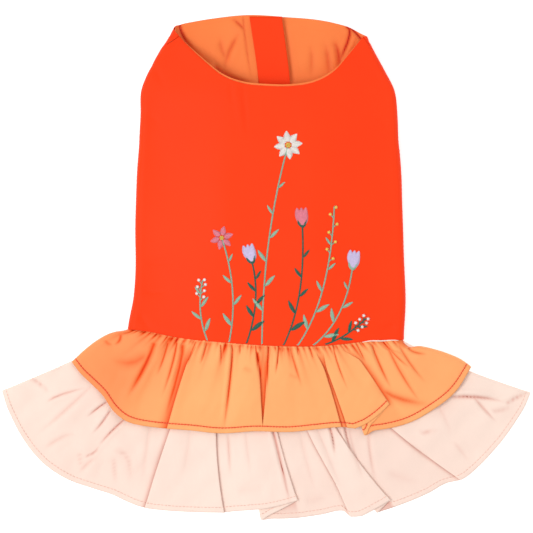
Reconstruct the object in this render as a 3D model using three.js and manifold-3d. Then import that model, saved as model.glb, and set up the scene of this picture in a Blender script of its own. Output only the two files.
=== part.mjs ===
import * as THREE from 'three';
import Module from 'manifold-3d';

const wasm = await Module();
wasm.setup();

// Dog dress lying on its belly side, back up, neck towards +Y. All sizes in millimetres.
const WAIST_WIDTH = 220;
const BODICE_LENGTH = 264;
const UPPER_RUFFLE_WIDTH = 319;
const UPPER_RUFFLE_DEPTH = 70.4;
const LOWER_RUFFLE_WIDTH = 422;
const LOWER_RUFFLE_DEPTH = 140;
const CLOTH = 1.1;
const GAP = 0.35;
const SIDE_FOLD_RADIUS = 4.6;
const CROWN_RISE = 13;
const CROWN_SHOULDER = 70;
const UNDERSIDE_WRAP = 35;
const RUFFLE_UNDER_SPREAD = 1.6;
const LINING_PEEK = 1.5;
const SEAM_GAP = 0.45;
const WAIST_GAP = 1.4;
const TAPE_THICKNESS = 1.8;
const LAP_RAMP = 34;
const UPPER_PLY = 2.0;
const LOWER_PLY = 2.1;
const RUFFLE_CLEARANCE = 1.6;
const HEM_CURL = 4.8;
const GATHER_TUCK = 4;
const SHOULDER_WRAP = 20;
const TAPE_MARGIN = 3;

const HALF_WIDTH = WAIST_WIDTH / 2;
const HALF_ARC = Math.PI * SIDE_FOLD_RADIUS / 2;

// Outline of the flat bodice.
// Columns: height up the bodice, left edge and right edge as shares of half the waist width
const SIDE_OUTLINE = [
  [0.015, 0.998, 0.998],
  [0.050, 0.996, 1.000],
  [0.150, 0.951, 1.005],
  [0.350, 0.944, 0.997],
  [0.480, 0.931, 0.983],
  [0.610, 0.915, 0.960],
  [0.700, 0.904, 0.951],
  [0.770, 0.899, 0.932],
  [0.830, 0.843, 0.860],
  [0.890, 0.765, 0.782],
  [0.930, 0.702, 0.736],
  [0.968, 0.653, 0.690],
];

// Seam between bodice and ruffles. Columns: place across as a share of half the waist, height
const WAIST_SEAM = [
  [-1.000, 0.049],
  [-0.845, 0.041],
  [-0.598, 0.021],
  [-0.325, 0.010],
  [0.000, 0.000],
  [0.300, -0.003],
  [0.540, 0.003],
  [0.787, 0.015],
  [1.000, 0.016],
];

// Neckline of the back, left to right. Columns: place across, height up the bodice
const BACK_NECK = [
  [-0.628, 0.934],
  [-0.558, 0.902],
  [-0.442, 0.856],
  [-0.311, 0.812],
  [-0.165, 0.789],
  [0.016, 0.781],
  [0.191, 0.781],
  [0.351, 0.793],
  [0.493, 0.826],
  [0.591, 0.872],
  [0.706, 0.932],
];

// Outer ends of the shoulder seams. Columns: place across, height up the bodice
const SHOULDER_ENDS = [
  [-0.733, 0.904],
  [0.776, 0.890],
];

// Top edge of the chest, left fold to right fold. Columns: place across, height
const CHEST_NECK = [
  [-0.648, 0.968],
  [-0.595, 0.975],
  [-0.369, 0.991],
  [-0.125, 1.000],
  [0.118, 0.995],
  [0.380, 0.986],
  [0.584, 0.967],
  [0.660, 0.952],
  [0.725, 0.936],
];

// Leg opening edge of one chest half, from the side seam up to the shoulder.
// Columns: place across as a share of the outline there, height up the bodice
const CHEST_ARMHOLE = [
  [0.665, 0.590],
  [0.560, 0.630],
  [0.540, 0.700],
  [0.580, 0.770],
  [0.720, 0.835],
];
const ARMHOLE_FOOT = 0.590;
const ARMHOLE_TURN = 0.635;
const BELLY_HEIGHT = 0.160;

// Belly edge of the chest, from the middle to the side seam.
// Columns: place across as a share of half the waist, height up the bodice
const BELLY_EDGE = [
  [0.00, 0.165],
  [0.25, 0.160],
  [0.45, 0.130],
  [0.66, 0.070],
];

// Closure strip down the lapped edge. Columns: height, left edge, right edge
const PLACKET = [
  [0.150, -0.004, 0.236],
  [0.780, -0.052, 0.182],
  [1.000, -0.122, 0.118],
];

// How high the back stands over the side folds. Columns: height up the bodice, share of the rise
const CROWN_ALONG = [
  [0.00, 0.45],
  [0.30, 0.90],
  [0.60, 1.00],
  [0.80, 0.85],
  [1.00, 0.60],
];

// Hem of the upper ruffle. Columns: share of the hem's length, place across as a share
// of half the ruffle's width, depth as a share of the ruffle's depth
const UPPER_HEM = [
  [0.000, -0.971, 0.193],
  [0.033, -0.924, 0.330],
  [0.097, -0.822, 0.557],
  [0.143, -0.762, 0.750],
  [0.181, -0.694, 0.869],
  [0.231, -0.583, 0.927],
  [0.322, -0.380, 0.966],
  [0.391, -0.225, 1.000],
  [0.466, -0.054, 0.977],
  [0.542, 0.117, 0.985],
  [0.602, 0.252, 0.955],
  [0.658, 0.378, 0.930],
  [0.732, 0.543, 0.966],
  [0.809, 0.714, 0.886],
  [0.878, 0.850, 0.716],
  [0.937, 0.952, 0.523],
  [1.000, 1.029, 0.250],
];

// Hem of the lower ruffle, with the same columns
const LOWER_HEM = [
  [0.000, -1.000, 0.263],
  [0.031, -0.977, 0.371],
  [0.074, -0.932, 0.509],
  [0.107, -0.886, 0.609],
  [0.139, -0.833, 0.691],
  [0.180, -0.750, 0.771],
  [0.220, -0.659, 0.820],
  [0.253, -0.583, 0.857],
  [0.281, -0.522, 0.900],
  [0.308, -0.462, 0.931],
  [0.349, -0.363, 0.949],
  [0.396, -0.249, 0.957],
  [0.432, -0.162, 0.960],
  [0.475, -0.060, 0.980],
  [0.504, 0.009, 0.994],
  [0.548, 0.115, 0.991],
  [0.589, 0.213, 0.971],
  [0.621, 0.289, 0.949],
  [0.640, 0.327, 0.983],
  [0.685, 0.433, 0.954],
  [0.724, 0.524, 0.909],
  [0.765, 0.615, 0.851],
  [0.798, 0.683, 0.794],
  [0.824, 0.744, 0.769],
  [0.852, 0.797, 0.709],
  [0.907, 0.888, 0.563],
  [0.939, 0.934, 0.469],
  [0.974, 0.979, 0.360],
  [1.000, 1.004, 0.274],
];

// Folds that lap over. Columns: place at the waist and at the hem as shares across,
// overlap at the hem as a share of the ruffle's depth, side on top (1 left, -1 right),
// how far the lapped hem is drawn up as a share of the depth
const UPPER_LAPS = [
  [0.245, 0.279, 0.09, -1, 0.00],
  [0.456, 0.473, 0.07, 1, 0.00],
  [0.533, 0.494, 0.07, -1, 0.00],
  [0.672, 0.645, 0.07, 1, 0.00],
  [0.712, 0.681, 0.07, -1, 0.00],
  [0.769, 0.751, 0.46, 1, 0.25],
];
const LOWER_LAPS = [
  [0.285, 0.318, 0.05, -1, 0.00],
  [0.331, 0.421, 0.08, 1, 0.00],
  [0.460, 0.523, 0.21, 1, 0.10],
  [0.557, 0.648, 0.06, -1, 0.00],
  [0.608, 0.694, 0.087, 1, 0.045],
  [0.719, 0.835, 0.08, -1, 0.00],
];

// Soft folds and dents. Columns: place at the waist and at the hem, width as a share of the
// ruffle's depth, height as a share of the ply spacing, share of the depth where it is highest
const UPPER_WAVES = [
  [0.035, 0.060, 0.16, -1.1, 0.30],
  [0.080, 0.170, 0.14, 0.7, 0.70],
  [0.130, 0.215, 0.08, -0.6, 0.60],
  [0.375, 0.395, 0.07, -0.8, 0.50],
  [0.590, 0.560, 0.07, -0.5, 0.30],
  [0.880, 0.845, 0.08, -0.8, 0.55],
  [0.940, 0.905, 0.12, 0.7, 0.60],
];
const LOWER_WAVES = [
  [0.050, 0.050, 0.07, -0.7, 0.80],
  [0.100, 0.140, 0.10, 0.6, 0.90],
  [0.160, 0.230, 0.06, -0.7, 0.85],
  [0.470, 0.580, 0.10, -0.5, 0.95],
  [0.850, 0.930, 0.07, -0.8, 0.85],
  [0.930, 0.975, 0.05, 0.7, 0.85],
];

const clamp = (value, low, high) => Math.min(Math.max(value, low), high);
const mix = (from, to, share) => from + (to - from) * share;
const smooth = (value) => {
  const t = clamp(value, 0, 1);
  return t * t * (3 - 2 * t);
};

// Smooth reading of one column of a table whose first column rises
function read(table, column, at) {
  const last = table.length - 1;
  if (at <= table[0][0]) return table[0][column];
  if (at >= table[last][0]) return table[last][column];
  let row = 0;
  while (at > table[row + 1][0]) row += 1;
  const slope = (k) => {
    const before = table[Math.max(k - 1, 0)];
    const after = table[Math.min(k + 1, last)];
    return (after[column] - before[column]) / (after[0] - before[0]);
  };
  const span = table[row + 1][0] - table[row][0];
  const t = (at - table[row][0]) / span;
  const t2 = t * t;
  const t3 = t2 * t;
  return table[row][column] * (2 * t3 - 3 * t2 + 1)
    + slope(row) * span * (t3 - 2 * t2 + t)
    + table[row + 1][column] * (3 * t2 - 2 * t3)
    + slope(row + 1) * span * (t3 - t2);
}

const edgeAt = (side, y) => side * HALF_WIDTH * read(SIDE_OUTLINE, side < 0 ? 1 : 2, y / BODICE_LENGTH);
const waistY = (x) => BODICE_LENGTH * read(WAIST_SEAM, 1, x / HALF_WIDTH);

// Height of the back over the floor, between the side folds
function backHeight(x, y) {
  const inside = Math.min(x - edgeAt(-1, y), edgeAt(1, y) - x) - SIDE_FOLD_RADIUS;
  const rise = CROWN_RISE * read(CROWN_ALONG, 1, y / BODICE_LENGTH);
  return CLOTH + 2 * SIDE_FOLD_RADIUS + rise * smooth(inside / CROWN_SHOULDER);
}

// A panel is drawn flat first. Across, it runs from -HALF_WIDTH to HALF_WIDTH between the two
// side folds, and further out it passes round a fold to the other face of the dress.
function flatAt(x, y, beyond = false) {
  const side = Math.sign(x) || 1;
  const inside = side * (edgeAt(side, y) - x);
  const r = SIDE_FOLD_RADIUS;
  if (inside >= r && !beyond) {
    const left = edgeAt(-1, y) + r;
    const right = edgeAt(1, y) - r;
    return -HALF_WIDTH + 2 * HALF_WIDTH * (x - left) / (right - left);
  }
  const reach = inside >= r ? HALF_ARC + inside - r : r * Math.acos(1 - clamp(inside / r, 0, 1));
  return side * (HALF_WIDTH + HALF_ARC + (beyond ? reach : -reach));
}

// Place of a flat point on the dress; face is 1 for the back and -1 for the belly,
// out is the distance towards the outside of the cloth, lift raises a lapped edge
function place(flat, y, out, face, lift) {
  const side = Math.sign(flat) || 1;
  const past = Math.abs(flat) - HALF_WIDTH;
  const r = SIDE_FOLD_RADIUS;
  const sheet = (x, upper) => (upper ? backHeight(x, y) + out : CLOTH - out + lift(x, y));
  if (past <= 0) {
    const left = edgeAt(-1, y) + r;
    const right = edgeAt(1, y) - r;
    const x = mix(left, right, (flat + HALF_WIDTH) / (2 * HALF_WIDTH));
    return [x, y, sheet(x, face > 0)];
  }
  const edge = edgeAt(side, y);
  if (past >= 2 * HALF_ARC) {
    const x = edge - side * (r + past - 2 * HALF_ARC);
    return [x, y, sheet(x, face < 0)];
  }
  const angle = face * (Math.PI / 2 - past / r);
  return [
    edge - side * r + side * (r + out) * Math.cos(angle),
    y,
    CLOTH + r + (r + out) * Math.sin(angle),
  ];
}

function solid(positions, triangles) {
  const mesh = new wasm.Mesh({
    numProp: 3,
    vertProperties: new Float32Array(positions),
    triVerts: new Uint32Array(triangles),
  });
  return new wasm.Manifold(mesh);
}

// A plate is bowed a little while it is cut, so that it keeps every point of its grid
const BOW = 0.0004;
const bow = (x, y) => BOW * (x * x + y * y);

// Closed plate in flat coordinates, on a grid of columns and rows, between two offsets
function plate(columns, rows, low, high) {
  const positions = [];
  const triangles = [];
  const wide = columns.length;
  const count = wide * rows.length;
  for (const out of [low, high]) {
    for (const y of rows) for (const x of columns) positions.push(x, y, out + bow(x, y));
  }
  const quad = (a, b, c, d) => triangles.push(a, b, c, a, c, d);
  for (let j = 0; j < rows.length - 1; j += 1) {
    for (let i = 0; i < wide - 1; i += 1) {
      const a = j * wide + i;
      quad(a, a + wide, a + wide + 1, a + 1);
      quad(count + a, count + a + 1, count + a + wide + 1, count + a + wide);
    }
  }
  const rim = [];
  for (let i = 0; i < wide - 1; i += 1) rim.push(i);
  for (let j = 0; j < rows.length - 1; j += 1) rim.push(j * wide + wide - 1);
  for (let i = wide - 1; i > 0; i -= 1) rim.push((rows.length - 1) * wide + i);
  for (let j = rows.length - 1; j > 0; j -= 1) rim.push(j * wide);
  rim.forEach((a, k) => {
    const b = rim[(k + 1) % rim.length];
    quad(a, b, count + b, count + a);
  });
  return solid(positions, triangles);
}

// Straight-walled block over an outline
function block(outline, low, high) {
  const points = outline.map(([x, y]) => new THREE.Vector2(x, y));
  if (THREE.ShapeUtils.area(points) < 0) points.reverse();
  const caps = THREE.ShapeUtils.triangulateShape(points, []);
  const count = points.length;
  const positions = [];
  for (const out of [low, high]) points.forEach((p) => positions.push(p.x, p.y, out));
  const triangles = [];
  for (const [a, b, c] of caps) {
    triangles.push(a, c, b, count + a, count + b, count + c);
  }
  for (let a = 0; a < count; a += 1) {
    const b = (a + 1) % count;
    triangles.push(a, b, count + b, a, count + b, count + a);
  }
  return solid(positions, triangles);
}

function toGeometry(positions, triangles) {
  const geometry = new THREE.BufferGeometry();
  geometry.setAttribute('position', new THREE.Float32BufferAttribute(positions, 3));
  geometry.setIndex(triangles);
  geometry.computeVertexNormals();
  return geometry;
}

const steps = (from, to, count) => Array.from({ length: count + 1 }, (_, k) => mix(from, to, k / count));

// Columns of a panel: close together round each side fold, wide apart between
function panelColumns(middle, arc, beyond, reach) {
  const fold = HALF_WIDTH + 2 * HALF_ARC;
  const right = [
    ...steps(HALF_WIDTH, fold, arc).slice(1),
    ...steps(fold, fold + reach, beyond).slice(1),
  ];
  const left = right.map((x) => -x).reverse();
  return [...left, ...steps(-HALF_WIDTH, HALF_WIDTH, middle), ...right];
}

// Cloth panel: a gridded plate cut to its outline, then laid on the dress
function panel(outline, columns, rows, layer, face, lift = () => 0) {
  const low = layer === 'outer' ? 0 : -GAP - CLOTH;
  const high = low + CLOTH;
  const top = high + bow(WAIST_WIDTH, BODICE_LENGTH);
  const flat = plate(columns, rows, low, high).intersect(block(outline, low - CLOTH, top));
  const mesh = flat.getMesh();
  const positions = [];
  for (let k = 0; k < mesh.vertProperties.length; k += mesh.numProp) {
    const [x, y, height] = mesh.vertProperties.slice(k, k + 3);
    positions.push(...place(x, y, clamp(height - bow(x, y), low, high), face, lift));
  }
  const triangles = Array.from(mesh.triVerts);
  if (face < 0) {
    for (let k = 0; k < triangles.length; k += 3) {
      [triangles[k + 1], triangles[k + 2]] = [triangles[k + 2], triangles[k + 1]];
    }
  }
  return toGeometry(positions, triangles);
}

const sideSeam = HALF_WIDTH + 2 * HALF_ARC + UNDERSIDE_WRAP - SIDE_FOLD_RADIUS;

// Outline of the back; peek is how far it stands above the neckline
function backOutline(peek) {
  const points = [];
  const waist = 24;
  for (let k = 0; k <= waist; k += 1) {
    const x = mix(edgeAt(-1, 0), edgeAt(1, 0), k / waist);
    const flat = k === 0 ? -sideSeam : k === waist ? sideSeam : flatAt(x, waistY(x));
    points.push([flat, waistY(x) + WAIST_GAP]);
  }
  const armhole = (side) => {
    const foot = BODICE_LENGTH * ARMHOLE_FOOT;
    const turn = BODICE_LENGTH * ARMHOLE_TURN;
    const end = BODICE_LENGTH * SHOULDER_ENDS[side < 0 ? 0 : 1][1];
    const brink = HALF_WIDTH + HALF_ARC;
    const list = [[side * sideSeam, foot]];
    for (const t of [0.3, 0.6, 0.85]) {
      list.push([side * mix(sideSeam, brink, t), mix(foot, turn, t * t * t)]);
    }
    list.push(...steps(turn, end, 6).slice(0, -1).map((y) => [side * brink, y]));
    return list;
  };
  const shoulder = (side) => {
    const [x, high] = SHOULDER_ENDS[side < 0 ? 0 : 1];
    const y = BODICE_LENGTH * high;
    return [flatAt(HALF_WIDTH * x, y), y];
  };
  const neck = [...BACK_NECK].reverse().map(([x, high], k, rows) => {
    const y = BODICE_LENGTH * high + (k % (rows.length - 1) ? peek : 0);
    return [flatAt(HALF_WIDTH * x, y), y];
  });
  return [
    ...points,
    ...armhole(1),
    shoulder(1),
    ...neck,
    shoulder(-1),
    ...armhole(-1).reverse(),
  ];
}

const placketAt = (column, y) => HALF_WIDTH * read(PLACKET, column, y / BODICE_LENGTH);

// Outline of one half of the chest, in belly-side flat coordinates
function chestOutline(side) {
  const points = [];
  const scale = BODICE_LENGTH;
  const inner = (y) => placketAt(side < 0 ? 2 : 1, y);
  const bellyY = (x) => scale * read(BELLY_EDGE, 1, Math.abs(x) / HALF_WIDTH);
  const seam = HALF_WIDTH - UNDERSIDE_WRAP - SEAM_GAP;
  const seamX = (y) => edgeAt(side, y) - side * (UNDERSIDE_WRAP + SEAM_GAP);
  const start = inner(scale * BELLY_HEIGHT);
  for (const t of steps(0, 1, 5)) {
    const x = mix(start, side * seam, t);
    const y = bellyY(x);
    points.push([flatAt(t === 1 ? seamX(y) : x, y), y]);
  }
  for (const y of steps(points.at(-1)[1], scale * ARMHOLE_FOOT, 8).slice(1, -1)) {
    points.push([flatAt(seamX(y), y), y]);
  }
  for (const [across, high] of CHEST_ARMHOLE) {
    const y = scale * high;
    const x = high === ARMHOLE_FOOT ? seamX(y) : edgeAt(side, y) * across;
    points.push([flatAt(x, y), y]);
  }
  const end = SHOULDER_ENDS[side < 0 ? 0 : 1];
  const neckEnd = BACK_NECK[side < 0 ? 0 : BACK_NECK.length - 1];
  const brink = scale * mix(CHEST_ARMHOLE.at(-1)[1], end[1], 0.6);
  points.push([side * (HALF_WIDTH + HALF_ARC * 0.9), brink]);
  for (const [x, high] of [end, neckEnd]) {
    const y = scale * high + SEAM_GAP;
    points.push([flatAt(HALF_WIDTH * x, y, true), y]);
  }
  const neck = CHEST_NECK.filter(([x]) => (side < 0 ? x < 0.1 : x > -0.1));
  const ordered = side < 0 ? neck : [...neck].reverse();
  for (const [x, high] of ordered) points.push([flatAt(HALF_WIDTH * x, scale * high), scale * high]);
  const top = scale * (side < 0 ? 0.995 : 0.999);
  points.push([flatAt(inner(top), top), top]);
  for (const y of steps(top, scale * BELLY_HEIGHT, 4).slice(1, -1)) points.push([flatAt(inner(y), y), y]);
  return points;
}

// The left half laps over the right one, with the closure tape between
const lapHeight = 2 * CLOTH + 2 * GAP + TAPE_THICKNESS + GAP;
const lapLift = (x, y) => lapHeight * smooth((x - placketAt(1, y) + LAP_RAMP) / LAP_RAMP);

// Strip lying along the closure between two heights
function stripSolid(inset, floor, thickness, from, to) {
  const grid = steps(BODICE_LENGTH * from, BODICE_LENGTH * to, 9).map((y) => {
    const left = placketAt(1, y) + inset;
    const right = placketAt(2, y) - inset;
    return [left, mix(left, right, 0.5), right].map((x) => [x, y, floor(x, y) + thickness / 2]);
  });
  return thickSheet(grid, thickness);
}

// Closed sheet of even thickness about a grid of points
function thickSheet(grid, thickness) {
  const rows = grid.length;
  const wide = grid[0].length;
  const at = (j, i) => new THREE.Vector3(...grid[clamp(j, 0, rows - 1)][clamp(i, 0, wide - 1)]);
  const faces = [[], []];
  for (let j = 0; j < rows; j += 1) {
    for (let i = 0; i < wide; i += 1) {
      const across = at(j, i + 1).sub(at(j, i - 1));
      const along = at(j + 1, i).sub(at(j - 1, i));
      const normal = across.cross(along).normalize().multiplyScalar(thickness / 2);
      faces[0].push(...at(j, i).sub(normal));
      faces[1].push(...at(j, i).add(normal));
    }
  }
  const count = rows * wide;
  const triangles = [];
  const quad = (a, b, c, d) => triangles.push(a, b, c, a, c, d);
  for (let j = 0; j < rows - 1; j += 1) {
    for (let i = 0; i < wide - 1; i += 1) {
      const a = j * wide + i;
      quad(a, a + wide, a + wide + 1, a + 1);
      quad(count + a, count + a + 1, count + a + wide + 1, count + a + wide);
    }
  }
  for (let i = 0; i < wide - 1; i += 1) {
    const b = (rows - 1) * wide + i;
    quad(i, i + 1, count + i + 1, count + i);
    quad(b + 1, b, count + b, count + b + 1);
  }
  for (let j = 0; j < rows - 1; j += 1) {
    const a = j * wide;
    const b = a + wide - 1;
    quad(a + wide, a, count + a, count + a + wide);
    quad(b, b + wide, count + b + wide, count + b);
  }
  const geometry = toGeometry([...faces[0], ...faces[1]], triangles);
  if (volume(geometry) < 0) {
    for (let k = 0; k < triangles.length; k += 3) {
      [triangles[k + 1], triangles[k + 2]] = [triangles[k + 2], triangles[k + 1]];
    }
    geometry.setIndex(triangles);
    geometry.computeVertexNormals();
  }
  return geometry;
}

function volume(geometry) {
  const p = geometry.attributes.position;
  const index = geometry.index.array;
  let sum = 0;
  for (let k = 0; k < index.length; k += 3) {
    const [a, b, c] = [0, 1, 2].map((n) => new THREE.Vector3().fromBufferAttribute(p, index[k + n]));
    sum += a.dot(b.cross(c)) / 6;
  }
  return sum;
}

// What the two ruffles differ in. layer is the height of the head's middle over the bodice's own
// surface, bulge how far the left and right end edges stand above a straight line.
const UPPER = {
  width: UPPER_RUFFLE_WIDTH,
  depth: UPPER_RUFFLE_DEPTH,
  hem: UPPER_HEM,
  laps: UPPER_LAPS,
  waves: UPPER_WAVES,
  ply: UPPER_PLY,
  layer: CLOTH / 2,
  bulge: [5.8, 3],
};
const LOWER = {
  width: LOWER_RUFFLE_WIDTH,
  depth: LOWER_RUFFLE_DEPTH,
  hem: LOWER_HEM,
  laps: LOWER_LAPS,
  waves: LOWER_WAVES,
  ply: LOWER_PLY,
  layer: -2.8 * GAP - CLOTH / 2,
  bulge: [-10, -8],
};

// Plan of a ruffle: q runs across from fold to fold, v from waist to hem
function rufflePlan(ruffle, q, v) {
  const left = edgeAt(-1, waistY(-HALF_WIDTH)) - ruffle.layer;
  const right = edgeAt(1, waistY(HALF_WIDTH)) + ruffle.layer;
  const headX = mix(left, right, q);
  const headY = waistY(headX);
  const hemX = ruffle.width / 2 * read(ruffle.hem, 1, q);
  const hemY = -ruffle.depth * read(ruffle.hem, 2, q);
  const nearEnds = [1 - smooth(q / 0.2), 1 - smooth((1 - q) / 0.2)];
  const bulge = ruffle.bulge[0] * nearEnds[0] + ruffle.bulge[1] * nearEnds[1];
  return [mix(headX, hemX, v), mix(headY, hemY, v) + bulge * Math.sin(Math.PI * v)];
}

function rowWidth(ruffle, v) {
  let length = 0;
  let last = rufflePlan(ruffle, 0, v);
  for (const q of steps(0, 1, 40).slice(1)) {
    const next = rufflePlan(ruffle, q, v);
    length += Math.hypot(next[0] - last[0], next[1] - last[1]);
    last = next;
  }
  return length;
}

const settle = (v) => smooth(v / 0.3);
const headHeight = (q, layer) => {
  const x = mix(edgeAt(-1, 0), edgeAt(1, 0), q);
  return backHeight(x, waistY(x)) + layer;
};

// Height of a ruffle's middle ply over the floor
function lowerBase(q, v) {
  const rim = Math.min(q, 1 - q);
  const hem = mix(HEM_CURL, LOWER_PLY + CLOTH * 0.6, smooth(rim / 0.2));
  const fall = (1 - clamp(v, 0, 1)) ** 2;
  return mix(hem, headHeight(q, LOWER.layer), fall);
}
function upperBase(q, v) {
  const share = UPPER_RUFFLE_DEPTH / LOWER_RUFFLE_DEPTH;
  const room = CLOTH + 2.8 * GAP + (UPPER_PLY + LOWER_PLY + RUFFLE_CLEARANCE) * settle(v);
  return lowerBase(q, v * share) + room;
}
UPPER.base = upperBase;
LOWER.base = lowerBase;
UPPER.under = () => CLOTH / 2;
LOWER.under = (v) => CLOTH / 2 + (CLOTH + GAP) * (1 - smooth((v - 0.55) / 0.3));

// Path of one lapped fold: place across in overlaps, extra reach of the turns in plies,
// level in plies, and whether the stop belongs to the ply drawn up at the hem
function lapStops(side) {
  const turn = [0.25, 0.5, 0.75].map((t) => Math.PI * t);
  const stops = [[-0.5, 0, 1, 1], [0.5, 0, 1, 1]];
  for (const a of turn) stops.push([0.5, Math.sin(a) / 2, 0.5 + Math.cos(a) / 2, 1]);
  stops.push([0.5, 0, 0, 1], [-0.5, 0, 0, 0]);
  for (const a of turn) stops.push([-0.5, -Math.sin(a) / 2, -0.5 + Math.cos(a) / 2, 0]);
  stops.push([-0.5, 0, -1, 0], [0.5, 0, -1, 0]);
  return stops.map(([p, reach, level], k) => ({
    p,
    reach,
    level: side * level,
    flat: k / (stops.length - 1) - 0.5,
    drawn: side > 0 ? (k < 6 ? 1 : 0) : (k > 5 ? 1 : 0),
  }));
}

// Stops across a ruffle, from the end under its left side to the end under its right side
function ruffleStops(ruffle, counts) {
  const stops = [];
  for (const t of steps(1, 0, counts.under).slice(0, -1)) stops.push({ kind: 'under', side: -1, t });
  for (const t of steps(1, 0, counts.arc).slice(0, -1)) stops.push({ kind: 'arc', side: -1, t });
  ruffle.laps.forEach((lap, k) => {
    for (const t of steps(0, 1, counts.run).slice(0, -1)) stops.push({ kind: 'run', after: k - 1, t });
    for (const stop of lapStops(lap[3])) stops.push({ kind: 'lap', lap: k, ...stop });
  });
  const last = ruffle.laps.length - 1;
  for (const t of steps(0, 1, counts.run).slice(1)) stops.push({ kind: 'run', after: last, t });
  for (const t of steps(0, 1, counts.arc).slice(1)) stops.push({ kind: 'arc', side: 1, t });
  for (const t of steps(0, 1, counts.under).slice(1)) stops.push({ kind: 'under', side: 1, t });
  return stops;
}

function ruffleRow(ruffle, stops, v) {
  const width = rowWidth(ruffle, v);
  const open = settle(v);
  const under = ruffle.under(v);
  const radius = [0, 1].map((q) => (ruffle.base(mix(0.012, 0.988, q), v) - under) / 2);
  const laps = ruffle.laps.map(([head, hem, overlap, side, drawn]) => {
    const full = overlap * ruffle.depth * mix(0.3, 1, v);
    const flat = GATHER_TUCK + 0.3 * full;
    return {
      at: mix(head, hem, v) * width,
      half: mix(flat, full, open) / 2,
      full,
      flat,
      side,
      drawn,
    };
  });
  const before = { at: radius[0], half: 0, side: 0 };
  const after = { at: width - radius[1], half: 0, side: 0 };
  const wave = (at) => ruffle.waves.reduce((sum, [head, hem, wide, high, peak]) => {
    const off = (at - mix(head, hem, v) * width) / (wide * ruffle.depth);
    const strength = smooth(v / peak) * (v > peak ? 1 - 0.4 * (v - peak) : 1);
    return sum + high * ruffle.ply * strength * Math.exp(-off * off);
  }, 0);
  const surface = (at, level, drawn) => {
    const q = at / width;
    const [x, y] = rufflePlan(ruffle, q, v * (1 - drawn));
    const z = ruffle.base(q, v) + level * ruffle.ply * open + wave(at);
    return [x, y, Math.max(z, CLOTH * 0.55 + (1 + level) * ruffle.ply * open)];
  };
  return stops.map((stop) => {
    if (stop.kind === 'lap') {
      const lap = laps[stop.lap];
      const folded = stop.p * lap.full + stop.reach * ruffle.ply;
      return surface(lap.at + mix(stop.flat * lap.flat, folded, open), stop.level, stop.drawn * lap.drawn);
    }
    if (stop.kind === 'run') {
      const a = laps[stop.after] ?? before;
      const b = laps[stop.after + 1] ?? after;
      const level = mix(-a.side, b.side, smooth(stop.t));
      const drawn = b.side > 0 ? b.drawn * stop.t : 0;
      return surface(mix(a.at + a.half, b.at - b.half, stop.t), level, drawn);
    }
    const r = radius[stop.side < 0 ? 0 : 1];
    const inward = stop.kind === 'arc'
      ? r * (1 - Math.sin(Math.PI * stop.t))
      : r + stop.t * (UNDERSIDE_WRAP - r) * mix(1, RUFFLE_UNDER_SPREAD, v);
    const z = stop.kind === 'arc' ? under + r + r * Math.cos(Math.PI * stop.t) : under;
    const short = stop.kind === 'under' ? 0.06 * smooth(stop.t * 3) : 0;
    const q = inward / width;
    const [x, y] = rufflePlan(ruffle, stop.side < 0 ? q : 1 - q, v * (1 - short));
    return [x, y, z];
  });
}

function ruffleSolid(ruffle, rows, counts) {
  const stops = ruffleStops(ruffle, counts);
  return thickSheet(rows.map((v) => ruffleRow(ruffle, stops, v)), CLOTH);
}

const group = new THREE.Group();
group.name = 'dog_dress';

function add(name, geometry, color, roughness) {
  const material = new THREE.MeshStandardMaterial({ color, roughness, metalness: 0 });
  const mesh = new THREE.Mesh(geometry, material);
  mesh.name = name;
  group.add(mesh);
}

const RED = 0xfb4519;
const PEACH = 0xfd9152;
const ORANGE = 0xffab6c;
const PINK = 0xfbe4d6;
const rowsFor = (from, to, count) => steps(BODICE_LENGTH * from, BODICE_LENGTH * to, count);

const backColumns = panelColumns(12, 4, 2, UNDERSIDE_WRAP * 1.06);
const backRows = rowsFor(-0.02, 1.01, 14);
const chestColumns = panelColumns(22, 4, 1, SHOULDER_WRAP);
const chestRows = rowsFor(0.01, 1.01, 12);
add('back_panel', panel(backOutline(0), backColumns, backRows, 'outer', 1), RED, 0.55);
add('back_lining', panel(backOutline(LINING_PEEK), backColumns, backRows, 'lining', 1), PEACH, 0.6);
for (const [side, name] of [[-1, 'left'], [1, 'right']]) {
  const lift = side < 0 ? lapLift : () => 0;
  const outline = chestOutline(side);
  add(`chest_panel_${name}`, panel(outline, chestColumns, chestRows, 'outer', -1, lift), RED, 0.55);
  add(`chest_lining_${name}`, panel(outline, chestColumns, chestRows, 'lining', -1, lift), PEACH, 0.6);
}
const tapeFloor = () => 2 * (CLOTH + GAP);
const stripFloor = (x, y) => 2 * (CLOTH + GAP) + lapLift(x, y);
add('placket_strip', stripSolid(GAP * 1.7, stripFloor, CLOTH, 0.175, 0.988), RED, 0.55);
add('closure_tape', stripSolid(TAPE_MARGIN, tapeFloor, TAPE_THICKNESS, 0.2, 0.97), PEACH, 0.9);
const counts = { under: 2, arc: 4, run: 4 };
add('upper_ruffle', ruffleSolid(UPPER, [0, 0.1, 0.28, 0.62, 1], counts), ORANGE, 0.5);
add('lower_ruffle', ruffleSolid(LOWER, [0, 0.08, 0.25, 0.5, 0.75, 1], counts), PINK, 0.6);

const box = new THREE.Box3().setFromObject(group);
for (const mesh of group.children) {
  mesh.geometry.translate(-(box.min.x + box.max.x) / 2, -(box.min.y + box.max.y) / 2, -box.min.z);
}

export default group;
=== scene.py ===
import math

import bpy
import numpy as np
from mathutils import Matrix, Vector
from mathutils.geometry import delaunay_2d_cdt


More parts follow.
